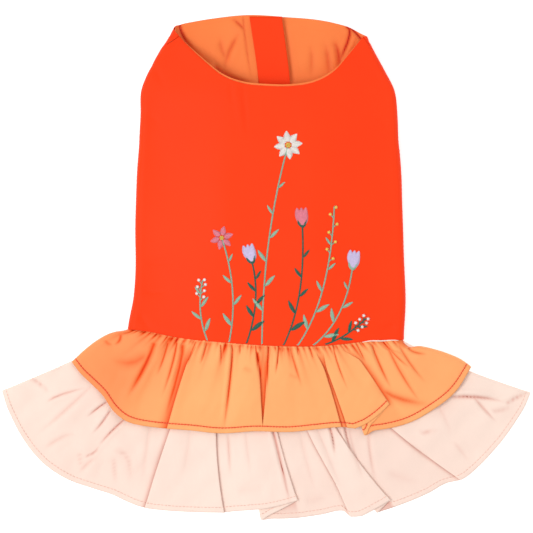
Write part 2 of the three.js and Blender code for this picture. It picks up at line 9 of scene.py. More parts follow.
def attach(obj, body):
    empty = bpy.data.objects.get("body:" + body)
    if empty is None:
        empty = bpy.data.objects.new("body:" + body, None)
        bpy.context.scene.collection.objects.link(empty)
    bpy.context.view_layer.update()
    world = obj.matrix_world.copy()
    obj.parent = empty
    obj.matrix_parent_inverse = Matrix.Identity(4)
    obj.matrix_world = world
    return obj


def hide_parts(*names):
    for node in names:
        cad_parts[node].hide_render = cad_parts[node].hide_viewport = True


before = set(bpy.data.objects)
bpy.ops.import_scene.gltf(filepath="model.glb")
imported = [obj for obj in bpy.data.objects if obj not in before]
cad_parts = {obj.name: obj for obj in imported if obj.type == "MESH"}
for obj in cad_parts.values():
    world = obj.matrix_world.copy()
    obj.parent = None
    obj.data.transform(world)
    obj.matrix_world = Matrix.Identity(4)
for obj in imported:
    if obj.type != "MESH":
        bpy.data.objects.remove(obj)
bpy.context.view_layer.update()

# Sizes in millimetres, in the dress's own frame: waist centre at x 0, y 0
WAIST_WIDTH = 220.0
BODICE_LENGTH = 264.0
UPPER_RUFFLE_WIDTH = 319.0
UPPER_RUFFLE_DEPTH = 70.4
LOWER_RUFFLE_WIDTH = 422.0
LOWER_RUFFLE_DEPTH = 140.0
SIDE_FOLD_RADIUS = 4.6
CROWN_RISE = 13.0
CROWN_SHOULDER = 70.0
UNDERSIDE_WRAP = 35.0
RUFFLE_UNDER_SPREAD = 1.6
CAD_CLOTH = 1.1
CAD_GAP = 0.35
CLOTH = 0.5
HEM_CLOTH = 0.85
OUTER_MIDDLE = 0.5
LINING_MIDDLE = -0.75
LINING_PEEK = 1.7
SEAM_GAP = 0.2
LAP_HEIGHT = 2.9
LAP_RAMP = 34.0
UPPER_PLY = 1.3
LOWER_PLY = 1.3
RUFFLE_CLEARANCE = 1.0
PUFF = 1.3
HEM_MARGIN = 4.2
EDGE_RINGS = (0.35, 0.9, 1.8)
EDGE_ROLL = 0.45
HEM_GROOVE = 0.12
HEM_STITCH = 2.3
TAPE_CLOTH = 0.8
TAPE_FLOOR = 2.25
FLOOR_CLEARANCE = 0.06
TURN_CLEARANCE = 0.4
SHIFT = (-0.418, -62.653)

HALF_WIDTH = WAIST_WIDTH / 2
HALF_ARC = math.pi * SIDE_FOLD_RADIUS / 2
FULL_TURN = 6.28
rng = np.random.default_rng(11)

# Columns: height up the bodice, left edge and right edge as shares of half the waist width
SIDE_OUTLINE = [
    (0.015, 0.998, 0.998),
    (0.05, 0.996, 1),
    (0.15, 0.951, 1.005),
    (0.35, 0.944, 0.997),
    (0.48, 0.931, 0.983),
    (0.61, 0.915, 0.96),
    (0.7, 0.904, 0.951),
    (0.77, 0.899, 0.932),
    (0.83, 0.843, 0.86),
    (0.89, 0.765, 0.782),
    (0.93, 0.702, 0.736),
    (0.968, 0.653, 0.69),
]

# Columns: place across, height up the bodice
WAIST_SEAM = [
    (-1, 0.049),
    (-0.845, 0.041),
    (-0.598, 0.021),
    (-0.325, 0.01),
    (0, 0),
    (0.3, -0.003),
    (0.54, 0.003),
    (0.787, 0.015),
    (1, 0.016),
]
BACK_NECK = [
    (-0.628, 0.934),
    (-0.558, 0.902),
    (-0.442, 0.856),
    (-0.311, 0.812),
    (-0.165, 0.789),
    (0.016, 0.781),
    (0.191, 0.781),
    (0.351, 0.793),
    (0.493, 0.826),
    (0.591, 0.872),
    (0.706, 0.932),
]
SHOULDER_ENDS = [(-0.733, 0.904), (0.776, 0.89)]
CHEST_NECK = [
    (-0.648, 0.968),
    (-0.595, 0.975),
    (-0.369, 0.991),
    (-0.125, 1),
    (0.118, 0.995),
    (0.38, 0.986),
    (0.584, 0.967),
    (0.66, 0.952),
    (0.725, 0.936),
]

# Columns: place across as a share of the outline there, height up the bodice
CHEST_ARMHOLE = [
    (0.665, 0.59),
    (0.56, 0.63),
    (0.54, 0.7),
    (0.58, 0.77),
    (0.72, 0.835),
]
ARMHOLE_FOOT = 0.59
ARMHOLE_TURN = 0.635
BELLY_HEIGHT = 0.16

# Columns: place across, height up the bodice
BELLY_EDGE = [(0, 0.165), (0.25, 0.16), (0.45, 0.13), (0.66, 0.07)]

# Columns: height, left edge, right edge
PLACKET = [(0.15, -0.004, 0.236), (0.78, -0.052, 0.182), (1, -0.122, 0.118)]

# Columns: height up the bodice, share of the rise
CROWN_ALONG = [(0, 0.45), (0.3, 0.9), (0.6, 1), (0.8, 0.85), (1, 0.6)]

# Columns: share of the hem's length, place across as a share of half the ruffle's width,
# depth as a share of the ruffle's depth
UPPER_HEM = [
    (0, -0.971, 0.193),
    (0.033, -0.924, 0.33),
    (0.097, -0.822, 0.557),
    (0.143, -0.762, 0.75),
    (0.181, -0.694, 0.869),
    (0.231, -0.583, 0.927),
    (0.322, -0.38, 0.966),
    (0.391, -0.225, 1),
    (0.466, -0.054, 0.977),
    (0.542, 0.117, 0.985),
    (0.602, 0.252, 0.955),
    (0.658, 0.378, 0.93),
    (0.732, 0.543, 0.966),
    (0.809, 0.714, 0.886),
    (0.878, 0.85, 0.716),
    (0.937, 0.952, 0.523),
    (1, 1.029, 0.25),
]
LOWER_HEM = [
    (0, -1, 0.263),
    (0.031, -0.977, 0.371),
    (0.074, -0.932, 0.509),
    (0.107, -0.886, 0.609),
    (0.139, -0.833, 0.691),
    (0.18, -0.75, 0.771),
    (0.22, -0.659, 0.82),
    (0.253, -0.583, 0.857),
    (0.281, -0.522, 0.9),
    (0.308, -0.462, 0.931),
    (0.349, -0.363, 0.949),
    (0.396, -0.249, 0.957),
    (0.432, -0.162, 0.96),
    (0.475, -0.06, 0.98),
    (0.504, 0.009, 0.994),
    (0.548, 0.115, 0.991),
    (0.589, 0.213, 0.971),
    (0.621, 0.289, 0.949),
    (0.64, 0.327, 0.983),
    (0.685, 0.433, 0.954),
    (0.724, 0.524, 0.909),
    (0.765, 0.615, 0.851),
    (0.798, 0.683, 0.794),
    (0.824, 0.744, 0.769),
    (0.852, 0.797, 0.709),
    (0.907, 0.888, 0.563),
    (0.939, 0.934, 0.469),
    (0.974, 0.979, 0.36),
    (1, 1.004, 0.274),
]

# Folds that lap over. Columns: place at the waist and at the hem as shares across,
# overlap at the hem as a share of the ruffle's depth, side on top (1 left, -1 right),
# how far the lapped hem is drawn up as a share of the depth, how far its painted shade reaches in mm
UPPER_LAPS = [
    (0.252, 0.282, 0.09, -1, 0, 5.5),
    (0.465, 0.475, 0.07, 1, 0, 5),
    (0.514, 0.491, 0.07, -1, 0, 5),
    (0.676, 0.649, 0.07, 1, 0, 3),
    (0.698, 0.681, 0.07, -1, 0, 3),
    (0.769, 0.751, 0.46, 1, 0.25, 4),
]
LOWER_LAPS = [
    (0.285, 0.318, 0.05, -1, 0, 3),
    (0.331, 0.421, 0.08, 1, 0, 1.5),
    (0.46, 0.523, 0.21, 1, 0.1, 2),
    (0.557, 0.648, 0.06, -1, 0, 1.5),
    (0.598, 0.694, 0.087, 1, 0.045, 1.5),
    (0.719, 0.835, 0.08, -1, 0, 2.5),
]

# Soft folds. Columns: place at the waist and at the hem, width as a share of the depth,
# height as a share of the ply spacing, share of the depth where it is highest
UPPER_WAVES = [
    (0.035, 0.06, 0.16, -1.1, 0.3),
    (0.08, 0.17, 0.14, 0.7, 0.7),
    (0.13, 0.215, 0.08, -0.6, 0.6),
    (0.375, 0.395, 0.07, -0.8, 0.5),
    (0.59, 0.56, 0.07, -0.5, 0.3),
    (0.88, 0.845, 0.08, -0.8, 0.55),
    (0.94, 0.905, 0.12, 0.7, 0.6),
]
LOWER_WAVES = [
    (0.05, 0.05, 0.07, -0.7, 0.8),
    (0.1, 0.14, 0.1, 0.6, 0.9),
    (0.16, 0.23, 0.06, -0.7, 0.85),
    (0.47, 0.58, 0.1, -0.5, 0.95),
    (0.85, 0.93, 0.07, -0.8, 0.85),
    (0.93, 0.975, 0.05, 0.7, 0.85),
]

# How far a ruffle's end edges stand above a straight line. Columns: share of the depth, left mm,
# right mm
UPPER_ENDS = [
    (0, 0, 0),
    (0.1, 1.2, -3.4),
    (0.25, 4.2, 0.3),
    (0.4, 5.8, 2),
    (0.6, 5.6, 3.2),
    (0.8, 3.6, 3.2),
    (0.9, 1.9, 2.2),
    (1, 0, 0),
]
LOWER_ENDS = [(0, 0, 0), (0.3, -2.6, -2.4), (0.6, -2.2, -2.4), (1, 0, 0)]

# Shares of a ruffle's depth or width: where it has settled below the waist, how far in its ends'
# shape reaches, how much its hidden ends are shortened
SETTLED_AT = 0.3
END_REACH = 0.2
UNDER_SHORT = 0.06

# Width of a lap at the waist as a share of that at the hem, and its unfolded width: a least
# width in mm and a share of the overlap
LAP_AT_WAIST = 0.35
UNFOLDED_LEAST = 4
UNFOLDED_SHARE = 0.3

# Heights in mm: hem at a ruffle's ends, hem over the floor, room between the ruffles and how
# softly it is kept; and how far down the upper ruffle's puff goes
END_RISE = 4.4
HEM_RISE = 0.15
RUFFLE_ROOM = 0.6
ROOM_SOFTNESS = 0.3
PUFF_REACH = 4

# Gathers: how far in the first one lies and how far one drifts, as shares across; how much wider
# one gets for each mm down; its share of height at the seam and where it is full, in mm
GATHER_MARGIN = 0.006
GATHER_DRIFT = 0.006
GATHER_SPREAD = 0.035
GATHER_START = 0.35
GATHER_ONSET = 2.5

# Shares of a ruffle: where across the turns at its sides are measured, where down its rumples
# are full, and how fast a soft fold sinks below its highest place
TURN_AT = 0.012
RUMPLED_AT = 0.25
WAVE_LOSS = 0.4

# The drawn-up tip of a lap's lower ply: how far it dips, and over which share of the lap
TIP_DIP = 1.04
TIP_SHARE = 0.18

# Shares of the painted shade colour: deepest crease, hidden ply and the cloth beside a lap, and the share
# kept on a ruffle's underside
CREASE_TINT = 0.75
LAP_SHADE_TINT = 0.6
REVERSE_TINT = 0.2

# Painted shade across each ruffle, most towards its left end. Columns: share across, share of the shade
# colour
UPPER_PAINTED_SHADE = [(0, 0.22), (0.1, 0.28), (0.2, 0.14), (0.35, 0.02), (0.5, 0.04), (0.8, 0.02), (1, 0.06)]
LOWER_PAINTED_SHADE = [(0, 0.05), (0.15, 0.1), (0.35, 0.02), (0.6, 0.06), (0.8, 0.06), (1, 0.02)]

# Creases. Columns: start, middle and end (each across as a share of half the ruffle's width and
# down as a share of its depth), depth in mm, width in mm, which side stands up (-1 to 1),
# strength where it starts. Deep, narrow creases also get painted shade in their valleys
UPPER_CREASES = [
    (-0.296, -0.023, -0.308, 0.089, -0.33, 0.239, 1.3, 1.3, 1, 1),
    (-0.35, -0.034, -0.37, 0.08, -0.395, 0.261, 0.9, 1.3, -1, 1),
    (-0.225, 0, -0.223, 0.125, -0.225, 0.273, 1.3, 0.9, 0, 1),
    (-0.17, 0, -0.173, 0.273, -0.213, 1.032, 2.2, 1.3, 0.6, 0.8),
    (-0.416, 0.011, -0.441, 0.34, -0.538, 1.06, 2.3, 2.9, -0.5, 0.9),
    (-0.127, 0, -0.128, 0.057, -0.129, 0.125, 0.9, 0.8, 0, 1),
    (-0.05, 0.011, -0.044, 0.148, -0.036, 0.34, 1.3, 1.1, -0.5, 1),
    (0.013, 0.02, 0.011, 0.17, 0.004, 0.56, 1.9, 1.2, 0.5, 1),
    (-0.04, 0.09, -0.032, 0.25, -0.016, 0.56, 1.7, 1.2, -0.5, 1),
    (-0.012, 0.02, -0.01, 0.2, -0.005, 0.8, 1.2, 3.6, 0, 1),
    (0.064, 0.011, 0.059, 0.17, 0.048, 0.352, 1.3, 0.9, 0.5, 1),
    (0.122, 0.023, 0.142, 0.193, 0.187, 0.511, 1.2, 1.4, -0.6, 0.7),
    (0.082, 0.011, 0.084, 0.057, 0.087, 0.102, 0.7, 0.7, 0, 1),
    (0.157, 0.011, 0.159, 0.068, 0.167, 0.136, 0.8, 0.8, 0, 1),
    (0.217, 0.011, 0.227, 0.08, 0.242, 0.193, 0.9, 0.9, 0, 1),
    (0.337, 0, 0.362, 0.227, 0.418, 0.534, 1, 1.1, -0.6, 1),
    (0.453, -0.011, 0.478, 0.091, 0.508, 0.239, 1, 1, 0.5, 1),
    (0.533, 0, 0.573, 0.239, 0.638, 0.534, 1.5, 1.6, 0.8, 0.9),
    (0.608, 0, 0.683, 0.341, 0.799, 0.727, 1.3, 1.8, -0.8, 0.8),
    (0.668, 0, 0.729, 0.227, 0.814, 0.455, 1, 1.6, 0.5, 0.7),
    (0.56, 0.45, 0.66, 0.6, 0.85, 0.68, 1.9, 3.8, 0.4, 0.3),
    (0.715, 0.038, 0.753, 0.085, 0.815, 0.102, 1, 1.5, 0.6, 1),
    (0.62, 0.03, 0.66, 0.14, 0.73, 0.27, 0.9, 1.3, -0.5, 0.8),
    (-0.56, -0.01, -0.611, 0.261, -0.701, 0.624, 2.3, 2.6, -0.9, 0.8),
    (-0.49, -0.023, -0.515, 0.17, -0.55, 0.375, 1.1, 1.4, 0.4, 1),
    (-0.445, -0.023, -0.47, 0.239, -0.525, 0.625, 1.2, 1.4, -0.4, 1),
    (-0.805, -0.07, -0.79, -0.02, -0.76, -0.002, 0.9, 2, 0.7, 0),
    (-0.727, -0.14, -0.733, -0.05, -0.765, -0.002, 1.3, 1.7, -0.7, 0.5),
    (-0.585, 0.06, -0.67, 0.2, -0.79, 0.14, 0.9, 5, -0.6, 0.1),
    (-0.114, 0.239, -0.084, 0.284, -0.049, 0.295, 0.5, 2.8, 0, 0),
    (0.112, 0.307, 0.152, 0.364, 0.192, 0.364, 0.5, 2.8, 0, 0),
]
LOWER_CREASES = [
    (-0.909, 0.177, -0.856, 0.223, -0.818, 0.286, 0.9, 1.5, 0.7, 0),
    (-0.833, 0.337, -0.788, 0.291, -0.67, 0.24, 1.1, 1.3, 0.7, 0),
    (-0.67, 0.246, -0.742, 0.349, -0.886, 0.537, 0.9, 2.4, -0.6, 0.5),
    (-0.602, 0.326, -0.636, 0.36, -0.682, 0.417, 1.4, 1.1, 0.7, 0.8),
    (-0.591, 0.377, -0.628, 0.457, -0.663, 0.514, 1.3, 1.1, 0.7, 0.8),
    (-0.534, 0.423, -0.598, 0.514, -0.64, 0.594, 1.5, 1.2, -0.7, 0.8),
    (-0.64, 0.594, -0.659, 0.623, -0.697, 0.64, 1.1, 1.1, -0.5, 0.5),
    (-0.841, 0.594, -0.75, 0.514, -0.708, 0.543, 0.8, 2.4, 0.7, 0),
    (-0.708, 0.731, -0.663, 0.663, -0.625, 0.651, 0.8, 2.2, 0.7, 0),
    (-0.587, 0.6, -0.526, 0.646, -0.515, 0.811, 0.8, 2.4, -0.5, 0),
    (-0.579, 0.634, -0.575, 0.714, -0.568, 0.817, 0.8, 2.2, 0.5, 0),
    (-0.708, 0.611, -0.704, 0.669, -0.697, 0.714, 0.6, 1.6, -0.5, 0),
    (-0.439, 0.457, -0.454, 0.611, -0.477, 0.829, 0.6, 2.6, 0.5, 0.6),
    (-0.287, 0.497, -0.299, 0.629, -0.321, 0.771, 0.4, 3, 0.5, 0.6),
    (-0.143, 0.52, -0.139, 0.629, -0.132, 0.771, 0.9, 1.8, -0.5, 0.7),
    (-0.075, 0.497, -0.067, 0.629, -0.052, 0.771, 0.5, 2.4, 0.5, 0.6),
    (-0.117, 0.851, -0.06, 0.823, 0.009, 0.817, 0.3, 5, 0, 0),
    (0.026, 0.48, 0.058, 0.68, 0.1, 0.96, 1.9, 1.3, 0.5, 1),
    (0.24, 0.46, 0.255, 0.543, 0.26, 0.64, 1.7, 1.2, 0.5, 1),
    (0.299, 0.46, 0.308, 0.531, 0.328, 0.63, 1.6, 1.1, 0.5, 1),
    (0.13, 0.497, 0.153, 0.657, 0.198, 0.886, 0.5, 3, -0.5, 0.5),
    (0.198, 0.486, 0.236, 0.629, 0.289, 0.829, 0.6, 2.2, 0.5, 0.6),
    (0.141, 0.897, 0.194, 0.886, 0.244, 0.851, 0.4, 5, 0, 0),
    (0.316, 0.491, 0.342, 0.646, 0.38, 0.806, 0.7, 2, 0.5, 0.7),
    (0.388, 0.491, 0.399, 0.657, 0.422, 0.817, 0.9, 1.7, -0.6, 0.7),
    (0.452, 0.714, 0.517, 0.76, 0.604, 0.794, 0.4, 5.5, 0, 0),
    (0.528, 0.543, 0.585, 0.611, 0.638, 0.691, 0.5, 2.6, 0.5, 0),
    (0.577, 0.503, 0.63, 0.491, 0.657, 0.463, 0.9, 1.8, 0.5, 0),
    (0.71, 0.549, 0.744, 0.611, 0.774, 0.68, 0.5, 2, 0.5, 0),
    (0.706, 0.297, 0.82, 0.3, 0.918, 0.331, 2.2, 1.7, -1, 0.6),
    (0.918, 0.331, 0.956, 0.297, 1.002, 0.269, 1.2, 1.6, -0.6, 0.8),
    (0.85, 0.377, 0.9, 0.371, 0.941, 0.337, 1, 2.4, 0, 0),
    (0.793, 0.303, 0.831, 0.371, 0.881, 0.451, 1.2, 1.3, 0.7, 0.6),
    (0.645, 0.326, 0.683, 0.429, 0.706, 0.543, 0.5, 2.6, 0.5, 0.5),
]

# Soft creases of the bodice, the same columns, as shares of half the waist width across and of
# the bodice's length up
BACK_CREASES = [
    (-0.92, 0.1, -0.86, 0.06, -0.78, 0.045, 0.8, 3, 0.5, 0),
    (-0.9, 0.17, -0.8, 0.16, -0.66, 0.17, 0.6, 4, 0.5, 0),
    (-0.88, 0.24, -0.76, 0.25, -0.6, 0.24, 0.5, 4, -0.5, 0),
    (-0.86, 0.86, -0.78, 0.82, -0.72, 0.76, 0.4, 3.5, 0.5, 0),
    (-0.88, 0.7, -0.8, 0.68, -0.74, 0.66, 0.35, 4, 0.5, 0),
    (0.9, 0.66, 0.82, 0.68, 0.76, 0.7, 0.35, 4, 0.5, 0),
    (0.84, 0.82, 0.76, 0.8, 0.7, 0.76, 0.4, 3.5, -0.5, 0),
    (0.96, 0.06, 0.88, 0.05, 0.8, 0.03, 0.6, 3, 0.5, 0),
    (-0.165, 0.775, -0.155, 0.72, -0.13, 0.62, 0.9, 2, 0.8, 0.6),
    (-0.255, 0.79, -0.25, 0.76, -0.245, 0.72, 0.5, 1.8, -0.6, 0.6),
    (-0.705, 0.9, -0.66, 0.915, -0.62, 0.935, 0.7, 1.2, 0.6, 0.8),
]

# Creases of the lining of the chest, seen from its lining side, the same columns; deep, narrow ones also get
# painted shade
LINING_CREASES = [
    (0.592, 0.965, 0.605, 0.93, 0.51, 0.84, 2.3, 1.7, -1, 0.9),
    (0.51, 0.91, 0.53, 0.88, 0.545, 0.82, 2.2, 2.6, 0.6, 0.6),
    (0.44, 0.905, 0.455, 0.86, 0.47, 0.8, 1.2, 3, 0.6, 0.3),
    (0.61, 0.965, 0.68, 0.935, 0.755, 0.9, 2, 1.5, 0.6, 1),
    (-0.235, 0.985, -0.2, 0.975, -0.13, 0.945, 1.3, 1.8, 0.6, 0.4),
    (-0.2, 0.94, -0.28, 0.875, -0.3, 0.82, 1.3, 2.4, -0.7, 0.2),
    (-0.33, 0.93, -0.31, 0.885, -0.24, 0.85, 1, 2.8, 0.7, 0.2),
    (-0.36, 0.84, -0.228, 0.808, -0.05, 0.79, 1.9, 2, 0.7, 0.9),
    # Painted shadow of the back's neck edge on the lining at the left corner, laid as a crease
    (-0.635, 0.985, -0.6, 0.935, -0.51, 0.88, 2.2, 1.7, 0, 1),
    (-0.57, 0.915, -0.48, 0.872, -0.34, 0.825, 1.6, 1.9, 0.6, 1),
    (-0.165, 0.99, -0.14, 0.9, -0.09, 0.77, 0.6, 1.3, 0.5, 1),
    (0.33, 0.9, 0.335, 0.86, 0.33, 0.8, 0.8, 3, 0.5, 0.4),
]

# Embroidered sprays. Columns: thread of the stem; its base, bend and tip (across as a share of
# half the waist width, up as a share of the bodice's length); number of leaves; what it carries
STEMS = [
    ("sage", -0.42, 0.012, -0.507, 0.1, -0.456, 0.197, 4, "berries_white"),
    ("sage", -0.267, 0.006, -0.187, 0.161, -0.318, 0.324, 4, "daisy_pink"),
    ("dark_green", -0.144, 0, -0.027, 0.136, -0.1, 0.252, 5, "bud_lavender"),
    ("sage", -0.027, -0.003, -0.027, 0.318, 0.162, 0.603, 6, "daisy_white"),
    ("dark_green", 0.125, -0.003, 0.293, 0.136, 0.264, 0.361, 5, "bud_pink"),
    ("sage", 0.227, -0.003, 0.467, 0.136, 0.496, 0.421, 5, "berries_yellow"),
    ("sage", 0.344, 0, 0.576, 0.076, 0.627, 0.233, 4, "bud_lavender"),
    ("dark_green", 0.431, 0.003, 0.576, 0.021, 0.729, 0.082, 4, "berries_white"),
]
THREADS = {
    "sage": (166, 206, 180),
    "dark_green": (28, 108, 88),
    "lavender": (228, 214, 248),
    "pink": (248, 142, 162),
    "yellow": (255, 216, 84),
    "white": (255, 249, 243),
}


def smooth(value):
    """Smooth step from 0 to 1."""
    t = np.clip(value, 0.0, 1.0)
    return t * t * (3 - 2 * t)


def mix(a, b, t):
    return a + (b - a) * t


def read(table, column, at):
    """Smooth reading of one column of a table whose first column rises."""
    rows = np.array(table, float)
    xs, ys = rows[:, 0], rows[:, column]
    at = np.clip(np.asarray(at, float), xs[0], xs[-1])
    slopes = np.empty(len(xs))
    slopes[1:-1] = (ys[2:] - ys[:-2]) / (xs[2:] - xs[:-2])
    slopes[0] = (ys[1] - ys[0]) / (xs[1] - xs[0])
    slopes[-1] = (ys[-1] - ys[-2]) / (xs[-1] - xs[-2])
    k = np.clip(np.searchsorted(xs, at, side="right") - 1, 0, len(xs) - 2)
    span = xs[k + 1] - xs[k]
    t = (at - xs[k]) / span
    t2, t3 = t * t, t * t * t
    return (
        ys[k] * (2 * t3 - 3 * t2 + 1)
        + slopes[k] * span * (t3 - 2 * t2 + t)
        + ys[k + 1] * (3 * t2 - 2 * t3)
        + slopes[k + 1] * span * (t3 - t2)
    )


def edge_at(side, y):
    """Place across of the bodice's left (-1) or right (1) edge."""
    return side * HALF_WIDTH * read(SIDE_OUTLINE, 1 if side < 0 else 2, np.asarray(y) / BODICE_LENGTH)


def waist_y(x):
    """Height of the waist seam up the bodice."""
    return BODICE_LENGTH * read(WAIST_SEAM, 1, np.asarray(x) / HALF_WIDTH)


def back_height(x, y):
    """Height of the back over the floor: its crown falls to the folds at both sides."""
    inside = np.minimum(x - edge_at(-1, y), edge_at(1, y) - x) - SIDE_FOLD_RADIUS
    rise = CROWN_RISE * read(CROWN_ALONG, 1, np.asarray(y) / BODICE_LENGTH)
    return CAD_CLOTH + 2 * SIDE_FOLD_RADIUS + rise * smooth(inside / CROWN_SHOULDER)


def flat_at(x, y, beyond=False):
    """Flat coordinate across a panel for a place in plan; with beyond, for a place on the belly
    side, where the coordinate goes on past the fold."""
    side = -1.0 if x < 0 else 1.0
    inside = side * (float(edge_at(side, y)) - x)
    r = SIDE_FOLD_RADIUS
    if inside >= r and not beyond:
        left, right = float(edge_at(-1, y)) + r, float(edge_at(1, y)) - r
        return -HALF_WIDTH + 2 * HALF_WIDTH * (x - left) / (right - left)
    if inside >= r:
        reach = HALF_ARC + inside - r
    else:
        reach = r * math.acos(1 - min(max(inside / r, 0.0), 1.0))
    return side * (HALF_WIDTH + HALF_ARC + (reach if beyond else -reach))


def place(flat, y, out, face, lift):
    """Points on the dress for flat coordinates; arrays in, array of points out."""
    side = np.where(flat < 0, -1.0, 1.0)
    past = np.abs(flat) - HALF_WIDTH
    r = SIDE_FOLD_RADIUS
    left, right = edge_at(-1, y), edge_at(1, y)
    edge = np.where(side < 0, left, right)
    middle_x = mix(left + r, right - r, (flat + HALF_WIDTH) / (2 * HALF_WIDTH))
    far_x = edge - side * (r + past - 2 * HALF_ARC)

    def sheet(x, upper):
        return back_height(x, y) + out if upper else CAD_CLOTH - out + lift(x, y)

    angle = face * (math.pi / 2 - past / r)
    arc_x = edge - side * r + side * (r + out) * np.cos(angle)
    arc_z = CAD_CLOTH + r + (r + out) * np.sin(angle)
    near, far = past <= 0, past >= 2 * HALF_ARC
    x = np.where(near, middle_x, np.where(far, far_x, arc_x))
    z = np.where(near, sheet(middle_x, face > 0), np.where(far, sheet(far_x, face < 0), arc_z))
    return np.stack([x, y, z], axis=-1)


def make_object(name, points, faces, uv=None, shade_paint=None):
    """Mesh object from points in millimetres; uv and the painted shade are one value for each point."""
    points = np.asarray(points, float)
    co = (points + np.array([SHIFT[0], SHIFT[1], 0.0])) / 1000.0
    mesh = bpy.data.meshes.new(name)
    mesh.from_pydata(co.tolist(), [], faces)
    mesh.update()
    mesh.polygons.foreach_set("use_smooth", [True] * len(mesh.polygons))
    if uv is not None:
        layer = mesh.uv_layers.new(name="cloth")
        index = np.zeros(len(mesh.loops), np.int32)
        mesh.loops.foreach_get("vertex_index", index)
        layer.data.foreach_set("uv", (np.asarray(uv, float)[index] / 1000.0).astype(np.float32).ravel())
    if shade_paint is not None:
        attribute = mesh.attributes.new("painted_shade", "FLOAT", "POINT")
        attribute.data.foreach_set("value", np.asarray(shade_paint, np.float32))
    made = bpy.data.objects.new(name, mesh)
    bpy.context.scene.collection.objects.link(made)
    return made


def ripple(x, y, waves):
    """Small uneven undulation: a sum of sines. waves: (length mm, angle, phase, height mm)."""
    total = 0.0
    for length, angle, phase, height in waves:
        along = (x * math.cos(angle) + y * math.sin(angle)) / length
        total = total + height * np.sin(2 * math.pi * along + phase)
    return total


def make_waves(count, shortest, longest, height):
    """Random waves for ripple, of about the height given when summed."""
    one = height / math.sqrt(count)
    lows, highs = (shortest, 0, 0), (longest, math.pi, FULL_TURN)
    return [(*(rng.uniform(low, high) for low, high in zip(lows, highs)), one) for _ in range(count)]


def distance_to_line(points, line):
    """Distance from each point to a closed outline, in the flat."""
    best = np.full(len(points), 1e9)
    for a, b in zip(line, np.roll(line, -1, axis=0)):
        d = b - a
        t = np.clip(((points - a) @ d) / max(d @ d, 1e-9), 0, 1)
        best = np.minimum(best, np.hypot(*(points - a - t[:, None] * d).T))
    return best


def inside_line(points, line):
    """Whether each point lies inside a closed outline."""
    x, y = points[:, 0], points[:, 1]
    hit = np.zeros(len(points), bool)
    for (x0, y0), (x1, y1) in zip(line, np.roll(line, -1, axis=0)):
        if y0 == y1:
            continue
        crosses = (y0 > y) != (y1 > y)
        hit ^= crosses & (x < (x1 - x0) * (y - y0) / (y1 - y0) + x0)
    return hit


def resample(line, step):
    """Closed outline with points no further apart than step."""
    out = []
    for a, b in zip(line, line[1:] + line[:1]):
        n = max(1, int(math.ceil(math.hypot(b[0] - a[0], b[1] - a[1]) / step)))
        out += [(mix(a[0], b[0], k / n), mix(a[1], b[1], k / n)) for k in range(n)]
    return np.array(out)


def thick(points, faces, thickness, name, uv, shade_paint, reverse_tint=1.0):
    """Closed cloth about a surface of points: two skins and a rim; the underside skin keeps a share of the
    painted shade.
    """
    points = np.asarray(points, float)
    tri = np.array([f[:3] for f in faces])
    n = np.cross(points[tri[:, 1]] - points[tri[:, 0]], points[tri[:, 2]] - points[tri[:, 0]])
    normals = np.zeros_like(points)
    for f in range(3):
        np.add.at(normals, tri[:, f], n)
    if len(faces[0]) == 4:
        quad = np.array(faces)
        np.add.at(normals, quad[:, 3], n)
    normals /= np.maximum(np.linalg.norm(normals, axis=1, keepdims=True), 1e-9)
    half = (np.asarray(thickness) / 2).reshape(-1, 1) * np.ones((len(points), 1))
    count = len(points)
    skins = np.vstack([points + normals * half, points - normals * half])
    all_faces = [tuple(f) for f in faces] + [tuple(i + count for i in reversed(f)) for f in faces]
    edges = {}
    for f in faces:
        for a, b in zip(f, list(f[1:]) + [f[0]]):
            edges[(a, b)] = True
    for a, b in edges:
        if (b, a) not in edges:
            all_faces.append((b, a, a + count, b + count))
    shade_paints = np.concatenate([shade_paint, shade_paint * reverse_tint])
    return make_object(name, skins, all_faces, np.vstack([uv, uv]), shade_paints)


def panel(name, outline, middle, face, step, lift=lambda x, y: 0.0, detail=None, roll=0.0):
    """Cloth panel meshed in the flat inside its outline, then laid on the dress."""
    line = resample(outline, step)
    low, high = line.min(axis=0), line.max(axis=0)
    xs, ys = np.arange(low[0], high[0], step), np.arange(low[1], high[1], step * 0.87)
    gx, gy = np.meshgrid(xs, ys)
    gx = gx + (np.arange(len(ys))[:, None] % 2) * step / 2
    grid = np.column_stack([gx.ravel(), gy.ravel()])
    grid = grid[inside_line(grid, line)]
    grid = grid[distance_to_line(grid, line) > EDGE_RINGS[-1] + step * 0.6]
    before, after = np.roll(line, 1, axis=0), np.roll(line, -1, axis=0)
    turned = (after - before)[:, ::-1] * [1, -1]
    turned /= np.maximum(np.linalg.norm(turned, axis=1, keepdims=True), 1e-9)
    side = 1.0 if inside_line(line + turned * 0.1, line).mean() > 0.5 else -1.0
    rings = []
    for offset in EDGE_RINGS:
        ring = line + side * turned * offset
        keep = inside_line(ring, line) & (distance_to_line(ring, line) > offset * 0.96)
        rings += [tuple(p) for p in ring[keep]]
    inner = [tuple(p) for p in line] + rings + [tuple(p) for p in grid]
    edges = [(k, (k + 1) % len(line)) for k in range(len(line))]
    verts, _, faces, _, _, _ = delaunay_2d_cdt(inner, edges, [], 1, 1e-4)
    flat = np.array([tuple(v) for v in verts])
    gap = distance_to_line(flat, line)
    out = np.full(len(flat), middle, float)
    if roll:
        bend = np.clip(1 - gap / (2 * roll), 0, 1)
        out -= roll * (1 - np.sqrt(1 - bend * bend))
    plan = place(flat[:, 0], flat[:, 1], out * 0, face, lift)
    shade_paint = np.zeros(len(flat))
    if detail is not None:
        more, shade_paint = detail(plan[:, 0], plan[:, 1], gap)
        out += more
    points = place(flat[:, 0], flat[:, 1], out, face, lift)
    faces = [tuple(f) if face > 0 else tuple(reversed(f)) for f in faces]
    return thick(points, faces, CLOTH, name, flat, shade_paint)


side_seam = HALF_WIDTH + 2 * HALF_ARC + UNDERSIDE_WRAP - SIDE_FOLD_RADIUS


